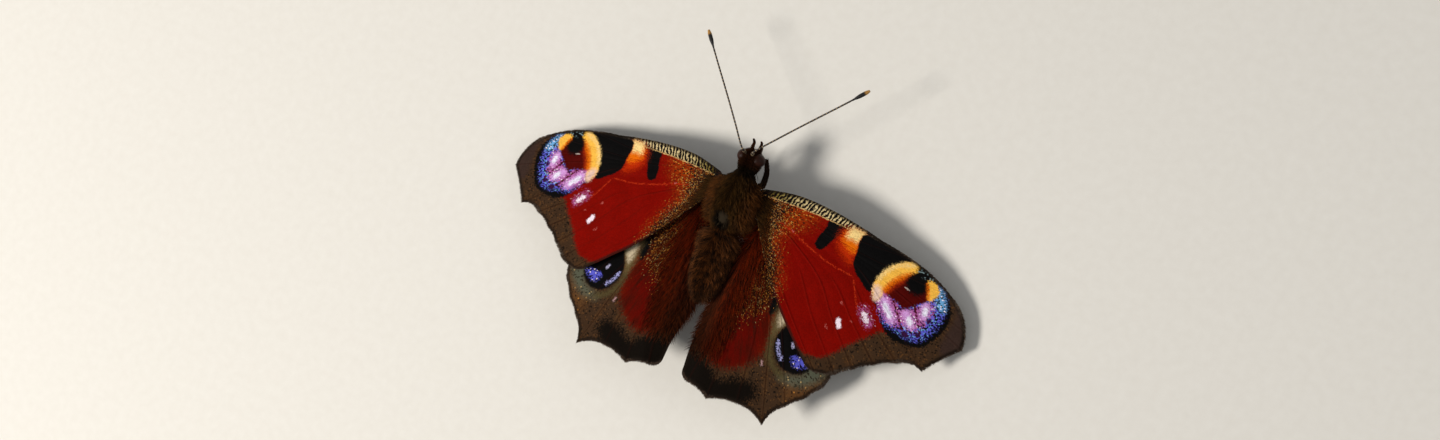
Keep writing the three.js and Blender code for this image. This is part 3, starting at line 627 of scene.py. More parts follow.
class Nodes:
    """Adds nodes to a node tree."""

    def __init__(self, tree):
        self.tree = tree

    def feed(self, socket, value):
        if isinstance(value, Wire):
            self.tree.links.new(value.socket, socket)
        else:
            socket.default_value = value

    def wires(self, node):
        return {socket.name: Wire(self, socket) for socket in node.outputs if socket.name}

    def node(self, kind, *ordered, settings=None, **named):
        """A new node with its settings, and its inputs in order or by name."""
        node = self.tree.nodes.new(kind)
        for name, value in (settings or {}).items():
            setattr(node, name, value)
        for socket, value in zip(node.inputs, ordered):
            self.feed(socket, value)
        for name, value in named.items():
            self.feed(node.inputs[name.replace("_", " ")], value)
        return node

    def add(self, kind, *ordered, out=0, settings=None, **named):
        return Wire(self, self.node(kind, *ordered, settings=settings, **named).outputs[out])

    def math(self, operation, *values):
        return self.add("ShaderNodeMath", *values, settings={"operation": operation})

    def vector(self, operation, *values):
        return self.add("ShaderNodeVectorMath", *values, settings={"operation": operation})

    def scaled(self, vector, factor):
        return self.add("ShaderNodeVectorMath", vector, settings={"operation": "SCALE"}, Scale=factor)

    def split(self, vector):
        return [Wire(self, socket) for socket in self.node("ShaderNodeSeparateXYZ", vector).outputs]

    def range(self, value, low, high, to_low=0.0, to_high=1.0):
        return self.add(
            "ShaderNodeMapRange", out="Result", settings={"interpolation_type": "SMOOTHSTEP"},
            Value=value, From_Min=low, From_Max=high, To_Min=to_low, To_Max=to_high,
        )

    def mix(self, factor, under, over):
        node = self.node("ShaderNodeMix", factor, settings={"data_type": "RGBA"})
        self.feed(node.inputs[6], under)
        self.feed(node.inputs[7], over)
        return Wire(self, node.outputs[2])

    def attribute(self, name, output="Fac"):
        return self.add("ShaderNodeAttribute", out=output, settings={"attribute_name": name})

    def object_place(self):
        return self.add("ShaderNodeTexCoord", out="Object")

    def noise(self, place, scale, detail=2.0, roughness=0.5):
        return self.add(
            "ShaderNodeTexNoise", out="Fac", Vector=place, Scale=scale, Detail=detail, Roughness=roughness
        )

    def group(self, name, **values):
        return self.wires(self.node("ShaderNodeGroup", settings={"node_tree": GROUPS[name]}, **values))


def new_group(name, inputs, outputs, kind="ShaderNodeTree"):
    """A node group with its sockets: name, socket type and, for an input, a starting value or None."""
    tree = bpy.data.node_groups.new(name, kind)
    for label, socket_type, value in inputs:
        socket = tree.interface.new_socket(name=label, in_out="INPUT", socket_type=socket_type)
        if value is not None:
            socket.default_value = value
    for label, socket_type in outputs:
        tree.interface.new_socket(name=label, in_out="OUTPUT", socket_type=socket_type)
    nodes = Nodes(tree)
    given = nodes.wires(tree.nodes.new("NodeGroupInput"))
    return nodes, given, tree.nodes.new("NodeGroupOutput").inputs


FLOAT = "NodeSocketFloat"
VECTOR = "NodeSocketVector"
COLOUR = "NodeSocketColor"
GEOMETRY = "NodeSocketGeometry"


def scale_rows_group():
    """Rows of wing scales round the hinge: a random number and a tone for each scale, and its relief."""
    nodes, given, out = new_group(
        "scale_rows",
        [("Place", VECTOR, None), ("Row Depth", FLOAT, 0.13), ("Scale Width", FLOAT, 0.08)],
        [("Random", FLOAT), ("Tone", FLOAT), ("Chance", FLOAT), ("Streak", FLOAT), ("Relief", FLOAT)],
    )
    p, q, _ = nodes.split(given["Place"])
    radius = nodes.math("SQRT", p * p + q * q)
    angle = nodes.math("ARCTAN2", q, p)
    wander = nodes.noise(given["Place"], 1.3) * 0.35
    rows = (radius + wander) / given["Row Depth"]
    row = nodes.math("FLOOR", rows)
    in_row = nodes.math("FRACT", rows)
    shift = nodes.add("ShaderNodeTexWhiteNoise", settings={"noise_dimensions": "1D"}, W=row)
    cells = angle * row * given["Row Depth"] / given["Scale Width"] + shift
    in_cell = nodes.math("FRACT", cells) - 0.5
    pair = nodes.add("ShaderNodeCombineXYZ", row, nodes.math("FLOOR", cells))
    noise = nodes.node("ShaderNodeTexWhiteNoise", settings={"noise_dimensions": "2D"}, Vector=pair)
    channels = nodes.node("ShaderNodeSeparateColor", nodes.wires(noise)["Color"]).outputs
    for label, channel in zip(("Random", "Tone", "Chance"), channels):
        nodes.feed(out[label], Wire(nodes, channel))
    fan = nodes.add("ShaderNodeCombineXYZ", angle * 26.0, radius * 0.3)
    nodes.feed(out["Streak"], nodes.noise(fan, 1.0, 3.0))
    crown = 1.0 - in_cell * in_cell * 2.6
    nodes.feed(out["Relief"], in_row * crown)
    return nodes.tree


def mark_group():
    """Turns the depth inside a mark into a mask whose edge is broken up scale by scale."""
    nodes, given, out = new_group(
        "mark_edge",
        [("Depth", FLOAT, None), ("Random", FLOAT, None), ("Scatter", FLOAT, 0.1), ("Softness", FLOAT, 0.05)],
        [("Mask", FLOAT)],
    )
    depth = given["Depth"] + (given["Random"] - 0.5) * given["Scatter"]
    nodes.feed(out["Mask"], nodes.range(depth, given["Softness"] * -1.0, given["Softness"]))
    return nodes.tree


def strokes_group():
    """Slanted pale strokes across the strip behind the costa, uneven, forked and broken."""
    nodes, given, out = new_group(
        "costal_strokes",
        [("Place", VECTOR, None), ("Spacing", FLOAT, 0.46), ("Slant", FLOAT, 0.4), ("Share", FLOAT, 0.39)],
        [("Mask", FLOAT)],
    )
    place = given["Place"]
    p, q, _ = nodes.split(place)
    bend = nodes.noise(place, 1.5) * 0.8
    steps = (p + q * given["Slant"] + bend) / given["Spacing"]
    from_middle = nodes.math("ABSOLUTE", nodes.math("FRACT", steps) - 0.5)
    uneven = nodes.range(nodes.noise(place, 2.6), 0.3, 0.7, 0.6, 1.4)
    half = given["Share"] * 0.5 * uneven
    line = nodes.range(from_middle, half - 0.08, half + 0.08, 1.0, 0.0)
    unbroken = nodes.range(nodes.noise(place, 3.4, 3.0), 0.34, 0.44, 0.25, 1.0)
    nodes.feed(out["Mask"], line * unbroken)
    return nodes.tree


def body_colour_group():
    """Colour of skin and coat from the place where a hair is rooted, in metres."""
    nodes, given, out = new_group("body_markings", [("Root", VECTOR, None)], [("Colour", COLOUR)])
    place = nodes.scaled(nodes.vector("SUBTRACT", given["Root"], (0, Y_SHIFT * MM, 0)), 1 / MM)
    x, y, z = nodes.split(place)
    patches = nodes.noise(place, 0.9, 3.0)
    # locks run backwards, so the grain is long along the body and fine across it
    grains = nodes.noise(nodes.vector("MULTIPLY", place, (3.4, 1.1, 3.4)), 1.0, 3.0, 0.7)
    out_x = nodes.math("ABSOLUTE", x)
    flank = nodes.range(out_x + patches * 1.4, 1.4, 2.7)
    colour = nodes.mix(flank, screen(66, 43, 17), screen(82, 45, 16))
    colour = nodes.mix(nodes.range(grains, 0.42, 0.6) * 0.68, colour, screen(24, 16, 9))
    colour = nodes.mix(nodes.range(out_x, 2.2, 3.2) * 0.45, colour, screen(44, 27, 13))
    # brown abdomen, darker towards its tip and at the front edge of each segment
    tail = nodes.range(y + patches * 1.2, -3.8, -5.2)
    rear = nodes.mix(nodes.range(grains, 0.38, 0.66), screen(26, 16, 9), screen(104, 59, 27))
    colour = nodes.mix(tail, colour, rear)
    segments = (ABDOMEN["front"] - y) * (ABDOMEN_SEGMENTS / ABDOMEN_LENGTH)
    front_edge = nodes.range(nodes.math("FRACT", segments), 0.3, 0.0)
    colour = nodes.mix(front_edge * tail * 0.6, colour, screen(22, 15, 10))
    colour = nodes.mix(nodes.range(y, -10.5, -14.0) * 0.4, colour, screen(30, 22, 16))
    # reddish brown head behind which the collar is nearly black
    face = nodes.mix(grains, screen(26, 18, 11), screen(70, 37, 18))
    colour = nodes.mix(nodes.range(y, 1.9, 2.4), colour, face)
    collar = nodes.range(nodes.math("ABSOLUTE", y - 1.75), 0.85, 0.2)
    colour = nodes.mix(collar * 0.8, colour, screen(20, 16, 11))
    # bare plate at the rear of the thorax, with a dark rim
    plate_y = (y - PLATE["y"]) * PLATE["squash"]
    reach = nodes.math("SQRT", x * x + plate_y * plate_y)
    upper = nodes.range(z, 6.6, 7.2)
    colour = nodes.mix(nodes.range(reach, 0.98, 0.78) * upper, colour, screen(26, 19, 12))
    colour = nodes.mix(nodes.range(reach, 0.72, 0.58) * upper, colour, screen(60, 49, 35))
    colour = nodes.mix(nodes.range(z, 5.2, 3.8) * 0.6, colour, screen(58, 45, 32))
    nodes.feed(out["Colour"], colour)
    return nodes.tree


GROUPS = {
    "scale_rows": scale_rows_group(),
    "mark_edge": mark_group(),
    "costal_strokes": strokes_group(),
    "body_markings": body_colour_group(),
}


# Materials
def new_material(name, roughness, specular):
    material = bpy.data.materials.new(name)
    material.use_nodes = True
    shader = material.node_tree.nodes["Principled BSDF"].inputs
    shader["Roughness"].default_value = roughness
    shader["Specular IOR Level"].default_value = specular
    return material, Nodes(material.node_tree), shader


def add_bump(nodes, shader, height, distance, strength=0.6):
    bump = nodes.add("ShaderNodeBump", Strength=strength, Distance=distance * MM, Height=height)
    nodes.feed(shader["Normal"], bump)


def wing_material(wing, marks):
    """Upper face of a wing: its marks painted one over the other, in rows of scales."""
    material, nodes, shader = new_material(wing["name"] + "_scales", 0.62, 0.02)
    place = nodes.attribute("wing_place", "Vector")
    rows = nodes.group("scale_rows", Place=place)
    odd = nodes.group("scale_rows", Place=place, Row_Depth=0.16, Scale_Width=0.13)["Chance"]
    vein = nodes.attribute("vein_line")
    band = nodes.attribute("vein_band")
    clouds = nodes.noise(place, 0.45, 3.0)
    if wing["name"] == "forewing":
        colour = nodes.mix(clouds * 0.5, RED, DEEP_RED)
    else:
        colour = nodes.mix(nodes.range(rows["Streak"], 0.35, 0.7), RUST, screen(62, 20, 6))
    for name, paint, softness, scatter, _, _ in marks:
        depth = nodes.attribute(name)
        mask = nodes.group(
            "mark_edge", Depth=depth, Random=rows["Random"], Scatter=scatter, Softness=softness
        )["Mask"]
        colour = nodes.mix(mask, colour, paint)
        if name in STREWN:
            (pale, pale_share), (dark, dark_share) = STREWN[name]
            colour = nodes.mix(nodes.math("LESS_THAN", odd, pale_share) * mask, colour, pale)
            colour = nodes.mix(nodes.math("GREATER_THAN", odd, 1.0 - dark_share) * mask, colour, dark)
        if name == "ruddy":
            streaks = nodes.range(rows["Streak"], 0.4, 0.7, 0.0, 0.75)
            colour = nodes.mix(streaks * mask, colour, screen(56, 14, 5))
        elif name == "border":
            mottled = nodes.range(clouds, 0.35, 0.65, 0.2, 0.8)
            colour = nodes.mix(band * mask * mottled, colour, WARM_BROWN)
            colour = nodes.mix(vein * mask, colour, SOOT)
        elif name == "costal_strip":
            p, _, _ = nodes.split(place)
            strokes = nodes.group("costal_strokes", Place=place)["Mask"] * nodes.range(depth, 0.04, 0.12)
            ends = nodes.range(p, 13.2, 11.8) * nodes.range(p, 0.2, 1.4)
            paler_outwards = nodes.mix(nodes.range(p, 1.0, 6.0), screen(132, 114, 54), screen(218, 194, 142))
            colour = nodes.mix(strokes * ends, colour, paler_outwards)
    colour = nodes.mix(vein * 0.28, colour, screen(52, 12, 5))
    edge = nodes.range(nodes.attribute("margin") + rows["Random"] * 0.12, 0.5, 0.2)
    colour = nodes.mix(edge * 0.8, colour, screen(27, 20, 15))
    nodes.feed(shader["Base Color"], nodes.scaled(colour, rows["Tone"] * 0.3 + 0.85))
    crumple = nodes.noise(place, 2.2, 4.0)
    add_bump(nodes, shader, rows["Relief"] + crumple * 1.2, 0.03)
    return material


def underside_material():
    """Under face of a wing: blackish brown, with fine wavy lines across it."""
    material, nodes, shader = new_material("wing_underside", 0.7, 0.05)
    place = nodes.attribute("wing_place", "Vector")
    rows = nodes.group("scale_rows", Place=place)
    waves = nodes.add(
        "ShaderNodeTexWave", out="Fac", settings={"bands_direction": "X"},
        Vector=place, Scale=0.55, Distortion=6.0, Detail=3.0, Detail_Scale=1.4,
    )
    colour = nodes.mix(nodes.noise(place, 0.3, 3.0), screen(24, 18, 15), screen(58, 43, 32))
    colour = nodes.mix(nodes.range(waves, 0.55, 0.8) * 0.6, colour, screen(14, 11, 10))
    colour = nodes.mix(nodes.attribute("vein_band") * 0.35, colour, screen(84, 62, 44))
    margin = nodes.range(nodes.attribute("margin"), 2.6, 0.8)
    colour = nodes.mix(margin * 0.4, colour, screen(70, 56, 46))
    nodes.feed(shader["Base Color"], nodes.scaled(colour, rows["Tone"] * 0.5 + 0.75))
    add_bump(nodes, shader, rows["Relief"], 0.03)
    return material


def fur_material():
    """Skin and coat: the colour belongs to the place where each hair is rooted, paler towards its tip."""
    material, nodes, shader = new_material("body_fur", 0.7, 0.04)
    colour = nodes.group("body_markings", Root=nodes.attribute("root", "Vector"))["Colour"]
    paler_tip = nodes.range(nodes.attribute("along"), 0.0, 0.9, 0.45, 1.3)
    shade = paler_tip * (nodes.attribute("strand") * 0.8 + 0.55)
    nodes.feed(shader["Base Color"], nodes.scaled(colour, shade))
    return material


def wing_hair_material(name, dark, pale, warm):
    """Hair on the wings: dark at the root, pale at the tip of some, and warmer where the wing under it is."""
    material, nodes, shader = new_material(name, 0.6, 0.07)
    strand = nodes.attribute("strand")
    lit = nodes.range(nodes.attribute("along") + strand, 0.4, 1.7)
    colour = nodes.mix(lit, dark, pale)
    glow = nodes.attribute("tint") * nodes.range(strand, 0.1, 0.8)
    nodes.feed(shader["Base Color"], nodes.mix(glow, colour, warm))
    return material


def dust_material():
    """Loose scales over the wing roots: each is soot, umber, gold or straw."""
    material, nodes, shader = new_material("root_dust", 0.5, 0.08)
    strand = nodes.attribute("strand")
    colour = BLACK
    for above, paint in ((0.52, UMBER), (0.74, GOLD), (0.92, STRAW)):
        colour = nodes.mix(nodes.math("GREATER_THAN", strand, above), colour, paint)
    shade = nodes.range(nodes.attribute("along"), 0.0, 1.0, 0.7, 1.05)
    nodes.feed(shader["Base Color"], nodes.scaled(colour, shade))
    return material


def eye_material():
    """Compound eye: reddish brown facets with a soft gloss."""
    facet = 0.055
    material, nodes, shader = new_material("compound_eye", 0.4, 0.13)
    place = nodes.object_place()
    facets = nodes.add(
        "ShaderNodeTexVoronoi", out="Distance", Vector=place, Scale=1 / (facet * MM), Randomness=0.35
    )
    clouds = nodes.noise(nodes.scaled(place, 1 / MM), 1.6)
    nodes.feed(shader["Base Color"], nodes.mix(clouds, screen(24, 13, 8), screen(56, 26, 15)))
    add_bump(nodes, shader, 1.0 - facets, 0.012, 0.8)
    return material


def antenna_material():
    """Antenna: dark scales with a narrow pale ring on each segment, and an ochre tip on the black club."""
    material, nodes, shader = new_material("antenna_scales", 0.55, 0.4)
    along = nodes.attribute("along")
    ring = nodes.range(nodes.math("FRACT", along * float(ANTENNA["segments"])), 0.3, 0.18)
    shaft = nodes.range(along, 0.86, 0.8)
    place = nodes.scaled(nodes.object_place(), 1 / MM)
    broken = nodes.range(nodes.noise(place, 4.0), 0.35, 0.6)
    pale = ring * shaft * (broken * 0.5 + 0.4)
    colour = nodes.mix(pale, screen(40, 30, 24), screen(176, 152, 118))
    colour = nodes.mix(nodes.range(along, 0.84, 0.88), colour, screen(18, 15, 13))
    colour = nodes.mix(nodes.range(along, 0.955, 0.975), colour, screen(176, 128, 62))
    nodes.feed(shader["Base Color"], colour)
    add_bump(nodes, shader, nodes.noise(place, 9.0, 3.0), 0.02)
    return material


def leg_material():
    """Legs: brown scales that thin out to dark feet."""
    material, nodes, shader = new_material("leg_scales", 0.55, 0.4)
    grains = nodes.noise(nodes.scaled(nodes.object_place(), 1 / MM), 5.0, 3.0)
    colour = nodes.mix(grains, screen(42, 31, 22), screen(86, 64, 43))
    colour = nodes.mix(nodes.range(nodes.attribute("along"), 0.45, 0.8), colour, screen(40, 31, 25))
    nodes.feed(shader["Base Color"], colour)
    add_bump(nodes, shader, grains, 0.03)
    return material


def tongue_material():
    """Rolled tongue: brown, with a fine ring at every turn of a wave along it."""
    material, nodes, shader = new_material("tongue_rings", 0.4, 0.45)
    rings = nodes.math("SINE", nodes.attribute("along") * 170.0)
    colour = nodes.mix(nodes.range(rings, -0.6, 0.8), screen(44, 30, 20), screen(92, 66, 40))
    nodes.feed(shader["Base Color"], colour)
    add_bump(nodes, shader, rings, 0.012)
    return material


MATERIALS = {
    "forewing": wing_material(FOREWING, FOREWING_MARKS),
    "hindwing": wing_material(HINDWING, HINDWING_MARKS),
    "underside": underside_material(),
    "fur": fur_material(),
    "forewing_hair": wing_hair_material(
        "forewing_hair", screen(22, 14, 8), screen(80, 52, 22), screen(128, 54, 12)
    ),
    "hindwing_hair": wing_hair_material(
        "hindwing_hair", screen(30, 14, 7), screen(86, 38, 14), screen(136, 44, 9)
    ),
    "fringe": wing_hair_material("wing_fringe", screen(24, 18, 14), screen(72, 56, 44), screen(120, 100, 80)),
    "dust": dust_material(),
    "eye": eye_material(),
    "antenna": antenna_material(),
    "leg": leg_material(),
    "tongue": tongue_material(),
}


# Wings
def wing_matrix(wing):
    turn = (
        Matrix.Translation(wing["hinge"])
        @ Matrix.Rotation(math.radians(wing["droop"]), 4, "Y")
        @ Matrix.Rotation(math.radians(-wing["rise"]), 4, "X")
    )
    return np.array(turn)


def wing_lift(wing, p, q):
    """How far the middle of the wing's thickness lies off its plane."""
    reach = np.minimum(1, np.hypot(p, q) / wing["length"])
    arch = 4 * wing["camber"] * reach * (1 - reach)
    trough = wing["trough"]
    if trough is None:
        return arch
    rising = smoothstep(q, trough["rises"], trough["ends"])
    along = smoothstep(q, trough["starts"], trough["full"]) * lerp(1, trough["left"], rising)
    return arch - trough["depth"] * along * (1 - smoothstep(p, trough["bottom"], trough["crest"]))


def wing_space(wing, p, q, off):
    """Points of the animal for places on a wing."""
    local = np.stack([p, -q, wing_lift(wing, p, q) + off, np.ones_like(p)], axis=-1)
    return (local @ wing_matrix(wing).T)[..., :3].reshape(-1, 3)


def wing_grid(wing):
    """Places of a wing's rows and columns, and what the veins do there: relief, line, band and swell."""
    t = np.linspace(0, 1, WING_ROWS + 1)
    lines = [at_shares(spline(line[3]), t) for line in wing["lines"]]
    grown = []
    for _, rises, _, _ in wing["lines"]:
        begun = np.ones_like(t) if rises == 0 else smoothstep(t, rises, rises + 0.15)
        grown.append(begun * lerp(1, 0.55, t) if rises < 1 else 0 * t)
    places, relief, line_mask, band_mask, swell = [], [], [], [], []
    for i in range(len(lines) - 1):
        chord = lines[i + 1] - lines[i]
        width = np.linalg.norm(chord, axis=1)
        outward = unit(np.stack([chord[:, 1], -chord[:, 0]], axis=1))
        for share in COLUMN_SHARES:
            bow = 4 * share * (1 - share) * wing["lines"][i][2] * t**6
            places.append(lines[i] + chord * share + outward * bow[:, None])
            near = share * width
            far = (1 - share) * width
            for values, reach, power in (
                (relief, VEIN_WIDTH, 2), (line_mask, VEIN_WIDTH, 4), (band_mask, VEIN_BAND, 2)
            ):
                values.append(np.maximum(grown[i] * bell(near, reach, power),
                                         grown[i + 1] * bell(far, reach, power)))
            swell.append(CELL_SWELL * np.sin(np.pi * share) * np.minimum(1, width / 1.5))
    places.append(lines[-1])
    places = np.stack(places, axis=1)
    veins = [np.stack(values + [0 * t], axis=1) for values in (relief, line_mask, band_mask, swell)]
    # one more row, narrower and tucked into the fur of the thorax
    root = lerp(places[:1], places[:1].mean(axis=1, keepdims=True), ROOT_NARROWING)
    places = np.concatenate([root - np.array([ROOT_TUCK, 0]), places])
    return places, [np.concatenate([values[:1], values]) for values in veins]


def mark_depth(places, width, lines):
    """How deep places lie inside a mark: an outline, or lines of the width given."""
    if width is None:
        return depth_inside(places, spline(lines, closed=True, steps=6))
    if not isinstance(lines[0], list):
        lines = [lines]
    return 0.5 * width - np.min([distance_to(places, spline(line, steps=8)) for line in lines], axis=0)


def blade_form(wing, marks):
    """A blade's points, its upper, under and rim triangles, and what its material reads at its places."""
    places, (relief, line_mask, band_mask, swell) = wing_grid(wing)
    rows, columns = places.shape[:2]
    p, q = places[..., 0], places[..., 1]
    flat_places = places.reshape(-1, 2)
    free_edge = np.vstack([places[:, 0], places[-1], places[::-1, -1]])
    margin = distance_to(flat_places, free_edge[::2]).reshape(rows, columns)
    thin = lerp(0.5, 1.0, smoothstep(margin, 0.0, 0.3))
    middle = swell + RIPPLE * np.sin(1.3 * p + 0.7 * q) + RIPPLE * np.sin(0.8 * q - 0.5 * p + 1.0)
    upper = middle + BLADE_HALF * thin + VEIN_RELIEF * relief
    under = middle - BLADE_HALF * thin - 0.5 * VEIN_RELIEF * relief
    points = np.concatenate([wing_space(wing, p, q, upper), wing_space(wing, p, q, under)])
    count = rows * columns
    loop = np.concatenate([
        np.arange(columns),
        np.arange(1, rows) * columns + columns - 1,
        (rows - 1) * columns + np.arange(columns - 2, -1, -1),
        np.arange(rows - 2, 0, -1) * columns,
    ])
    after = np.roll(loop, -1)
    rim = np.vstack([
        np.stack([after, loop, loop + count], axis=1),
        np.stack([after, loop + count, after + count], axis=1),
    ])
    faces = grid_faces(rows, columns), grid_faces(rows, columns, start=count)[:, ::-1], rim
    numbers = {"vein_line": line_mask.ravel(), "vein_band": band_mask.ravel(), "margin": margin.ravel()}
    for name, _, _, _, width, lines in marks:
        numbers[name] = mark_depth(flat_places, width, lines)
    return points, faces, flat_places, numbers


def wing_blade(wing, form, side_name):
    points, (top, bottom, rim), places, numbers = form
    name = f"{wing['name']}_{side_name}"
    blade = mesh_object(name + "_blade", points, np.vstack([top, bottom, rim]), SIDES[side_name])
    blade.data.materials.append(MATERIALS[wing["name"]])
    blade.data.materials.append(MATERIALS["underside"])
    slots = np.zeros(len(blade.data.polygons), int)
    slots[len(top):len(top) + len(bottom)] = 1
    blade.data.polygons.foreach_set("material_index", slots)
    set_vectors(blade, "wing_place", np.tile(columns_of(places[:, 0], places[:, 1], 0.0), (2, 1)))
    for label, values in numbers.items():
        set_numbers(blade, label, np.tile(values, 2))
    finish_piece(blade, [name])


def build_wings():
    forms = [(wing, blade_form(wing, marks)) for wing, marks in WINGS]
    for side_name in SIDES:
        for wing, form in forms:
            wing_blade(wing, form, side_name)


# Hair: solid tufts set on a surface by one node tree
def tuft_object(name, rings, tip_share, bow, flat):
    """One hair, one unit long and one wide at its root: three sides that taper to a point and bow out."""
    sides = 3
    points, shares = [], []
    for height in np.linspace(0, 1, rings + 1)[:-1]:
        width = lerp(1.0, tip_share, height)
        for angle in (0.0, 2.1, 4.2):
            bent = width * math.cos(angle) * flat + bow * math.sin(math.pi * height)
            points.append((bent, width * math.sin(angle), height))
            shares.append(height)
    points.append((0.0, 0.0, 1.0))
    shares.append(1.0)
    tip = sides * rings
    last = tip - sides
    faces = grid_faces(rings, sides, around=True).tolist()
    faces += [(last + j, last + (j + 1) % sides, tip) for j in range(sides)]
    faces.append((2, 1, 0))
    mesh = bpy.data.meshes.new(name)
    mesh.from_pydata(points, [], faces)
    mesh.update()
    made = new_object(name, mesh)
    set_numbers(made, "along", shares)
    set_unwrap(made, "tuft_patch", np.column_stack([[0.5 + 0.5 * point[1] for point in points], shares]))
    return made


def open_socket(sockets, name):
    return next(socket for socket in sockets if socket.enabled and socket.name == name)


def coat_tree():
    """Hairs over a surface: they follow its lie, vary in length, and keep the place of their root."""
    nodes, given, out = new_group(
        "coat",
        [("Geometry", GEOMETRY, None), ("Tuft", "NodeSocketObject", None), ("Density", FLOAT, None),
         ("Thickness", FLOAT, None), ("Disorder", FLOAT, None), ("Seed", "NodeSocketInt", None),
         ("Patch", FLOAT, None), ("Material", "NodeSocketMaterial", None)],
        [("Geometry", GEOMETRY)],
        "GeometryNodeTree",
    )

    def named(name, kind):
        node = nodes.node("GeometryNodeInputNamedAttribute", settings={"data_type": kind}, Name=name)
        return Wire(nodes, open_socket(node.outputs, "Attribute"))

    def store(geometry, name, kind, domain, value):
        settings = {"data_type": kind, "domain": domain}
        node = nodes.node("GeometryNodeStoreNamedAttribute", geometry, settings=settings, Name=name)
        nodes.feed(open_socket(node.inputs, "Value"), value)
        return Wire(nodes, node.outputs["Geometry"])

    def random(kind, low, high, offset):
        node = nodes.node("FunctionNodeRandomValue", settings={"data_type": kind})
        for label, value in (("Min", low), ("Max", high), ("Seed", given["Seed"] + offset)):
            nodes.feed(open_socket(node.inputs, label), value)
        return Wire(nodes, open_socket(node.outputs, "Value"))

    scatter = nodes.wires(nodes.node(
        "GeometryNodeDistributePointsOnFaces", settings={"distribute_method": "RANDOM"},
        Mesh=given["Geometry"], Density=given["Density"] * named("cover", "FLOAT"), Seed=given["Seed"],
    ))
    normal = scatter["Normal"]
    position = nodes.add("GeometryNodeInputPosition")
    points = store(scatter["Points"], "root", "FLOAT_VECTOR", "POINT", position)
    points = store(points, "strand", "FLOAT", "POINT", random("FLOAT", 0.0, 1.0, 11.0))
    lay = named("lay", "FLOAT")
    risen = nodes.scaled(normal, 1.0 - lay)
    laid = nodes.scaled(named("lie", "FLOAT_VECTOR"), lay)
    jitter = nodes.scaled(random("FLOAT_VECTOR", (-1, -1, -1), (1, 1, 1), 23.0), given["Disorder"])
    heading = nodes.vector("ADD", nodes.vector("ADD", risen, laid), jitter)
    stand = nodes.add("FunctionNodeAlignRotationToVector", settings={"axis": "Z"}, Vector=heading)
    face = nodes.add(
        "FunctionNodeAlignRotationToVector", settings={"axis": "X", "pivot_axis": "Z"},
        Rotation=stand, Vector=normal,
    )
    length = named("long", "FLOAT") * random("FLOAT", 0.6, 1.15, 37.0)
    thickness = given["Thickness"] * random("FLOAT", 0.7, 1.3, 41.0)
    size = nodes.add("ShaderNodeCombineXYZ", thickness, thickness, length)
    tuft = nodes.add("GeometryNodeObjectInfo", out="Geometry", Object=given["Tuft"])
    spread = nodes.add(
        "GeometryNodeInstanceOnPoints", Points=points, Instance=tuft, Rotation=face, Scale=size
    )
    hairs = nodes.add("GeometryNodeRealizeInstances", spread)
    patch = nodes.scaled(named("tuft_patch", "FLOAT_VECTOR"), given["Patch"])
    unwrap = nodes.vector("ADD", named("skin_unwrap", "FLOAT_VECTOR"), patch)
    hairs = store(hairs, "OFBake", "FLOAT2", "CORNER", unwrap)
    coloured = nodes.add("GeometryNodeSetMaterial", Geometry=hairs, Material=given["Material"])
    nodes.feed(out["Geometry"], coloured)
    return nodes.tree


COAT_TREE = coat_tree()
COAT_SOCKETS = {
    item.name: item.identifier
    for item in COAT_TREE.interface.items_tree
    if item.item_type == "SOCKET" and item.in_out == "INPUT"
}
TUFTS = {
    "long": tuft_object("tuft_long", 3, 0.45, 4.0, 1.0),
    "short": tuft_object("tuft_short", 2, 0.5, 2.0, 1.0),
    "scale": tuft_object("tuft_scale", 2, 0.95, 0.5, 0.25),
}
PATCH = 0.003


def covered_area(ground, cover):
    """The area of a mesh in square metres, counted by the share of it that hair covers."""
    mesh = ground.data
    areas = np.empty(len(mesh.polygons))
    mesh.polygons.foreach_get("area", areas)
    starts = np.empty(len(mesh.polygons), int)
    mesh.polygons.foreach_get("loop_start", starts)
    corners = corner_vertices(mesh)
    sums = np.add.reduceat(np.asarray(cover, np.float32)[corners], starts)
    return float((areas * (sums / np.diff(np.append(starts, len(corners))))).sum())


def grow_coat(name, ground, material="fur", *, tuft, hairs, thickness, disorder, seed,
              cover, lie, lay, length, tint=0.0):
    """A piece of coat on a mesh that has a UV map.

    It has about this many hairs. Cover says where they grow, lie which way they point, lay how flat they
    lie, length how long they are, and tint how warm their colour is.
    """
    count = len(ground.data.vertices)
    for label in ("cover", "lie", "lay", "long", "tint"):
        old = ground.data.attributes.get(label)
        if old:
            ground.data.attributes.remove(old)
    set_numbers(ground, "cover", cover)
    set_vectors(ground, "lie", unit(lie))
    set_numbers(ground, "lay", np.broadcast_to(lay, count))
    set_numbers(ground, "long", np.broadcast_to(length, count) * MM)
    set_numbers(ground, "tint", np.broadcast_to(tint, count))
    modifier = ground.modifiers.new("coat", "NODES")
    modifier.node_group = COAT_TREE
    settings = {
        "Tuft": TUFTS[tuft],
        "Density": hairs / covered_area(ground, cover),
        "Thickness": thickness * MM,
        "Disorder": disorder,
        "Seed": seed,
        "Patch": PATCH,
        "Material": MATERIALS[material],
    }
    for label, value in settings.items():
        modifier[COAT_SOCKETS[label]] = value
    evaluated = ground.evaluated_get(bpy.context.evaluated_depsgraph_get())
    mesh = bpy.data.meshes.new_from_object(evaluated)
    ground.modifiers.remove(modifier)
    mesh.name = name
    for layer in [layer.name for layer in mesh.uv_layers if layer.name != "OFBake"]:
        mesh.uv_layers.remove(mesh.uv_layers[layer])
    return finish_piece(new_object(name, mesh))


def wing_ground(wing, places, side, off):
    """A sheet over part of a wing that its hair grows on, with p and q of its points."""
    p, q = places[..., 0], places[..., 1]
    ground = mesh_object("ground", wing_space(wing, p, q, np.full(p.shape, off)), grid_faces(*p.shape), side)
    set_unwrap(ground, "skin_unwrap", np.column_stack([p.ravel() / 32 + 0.1, q.ravel() / 32 + 0.1]))
    return ground, p.ravel(), q.ravel()


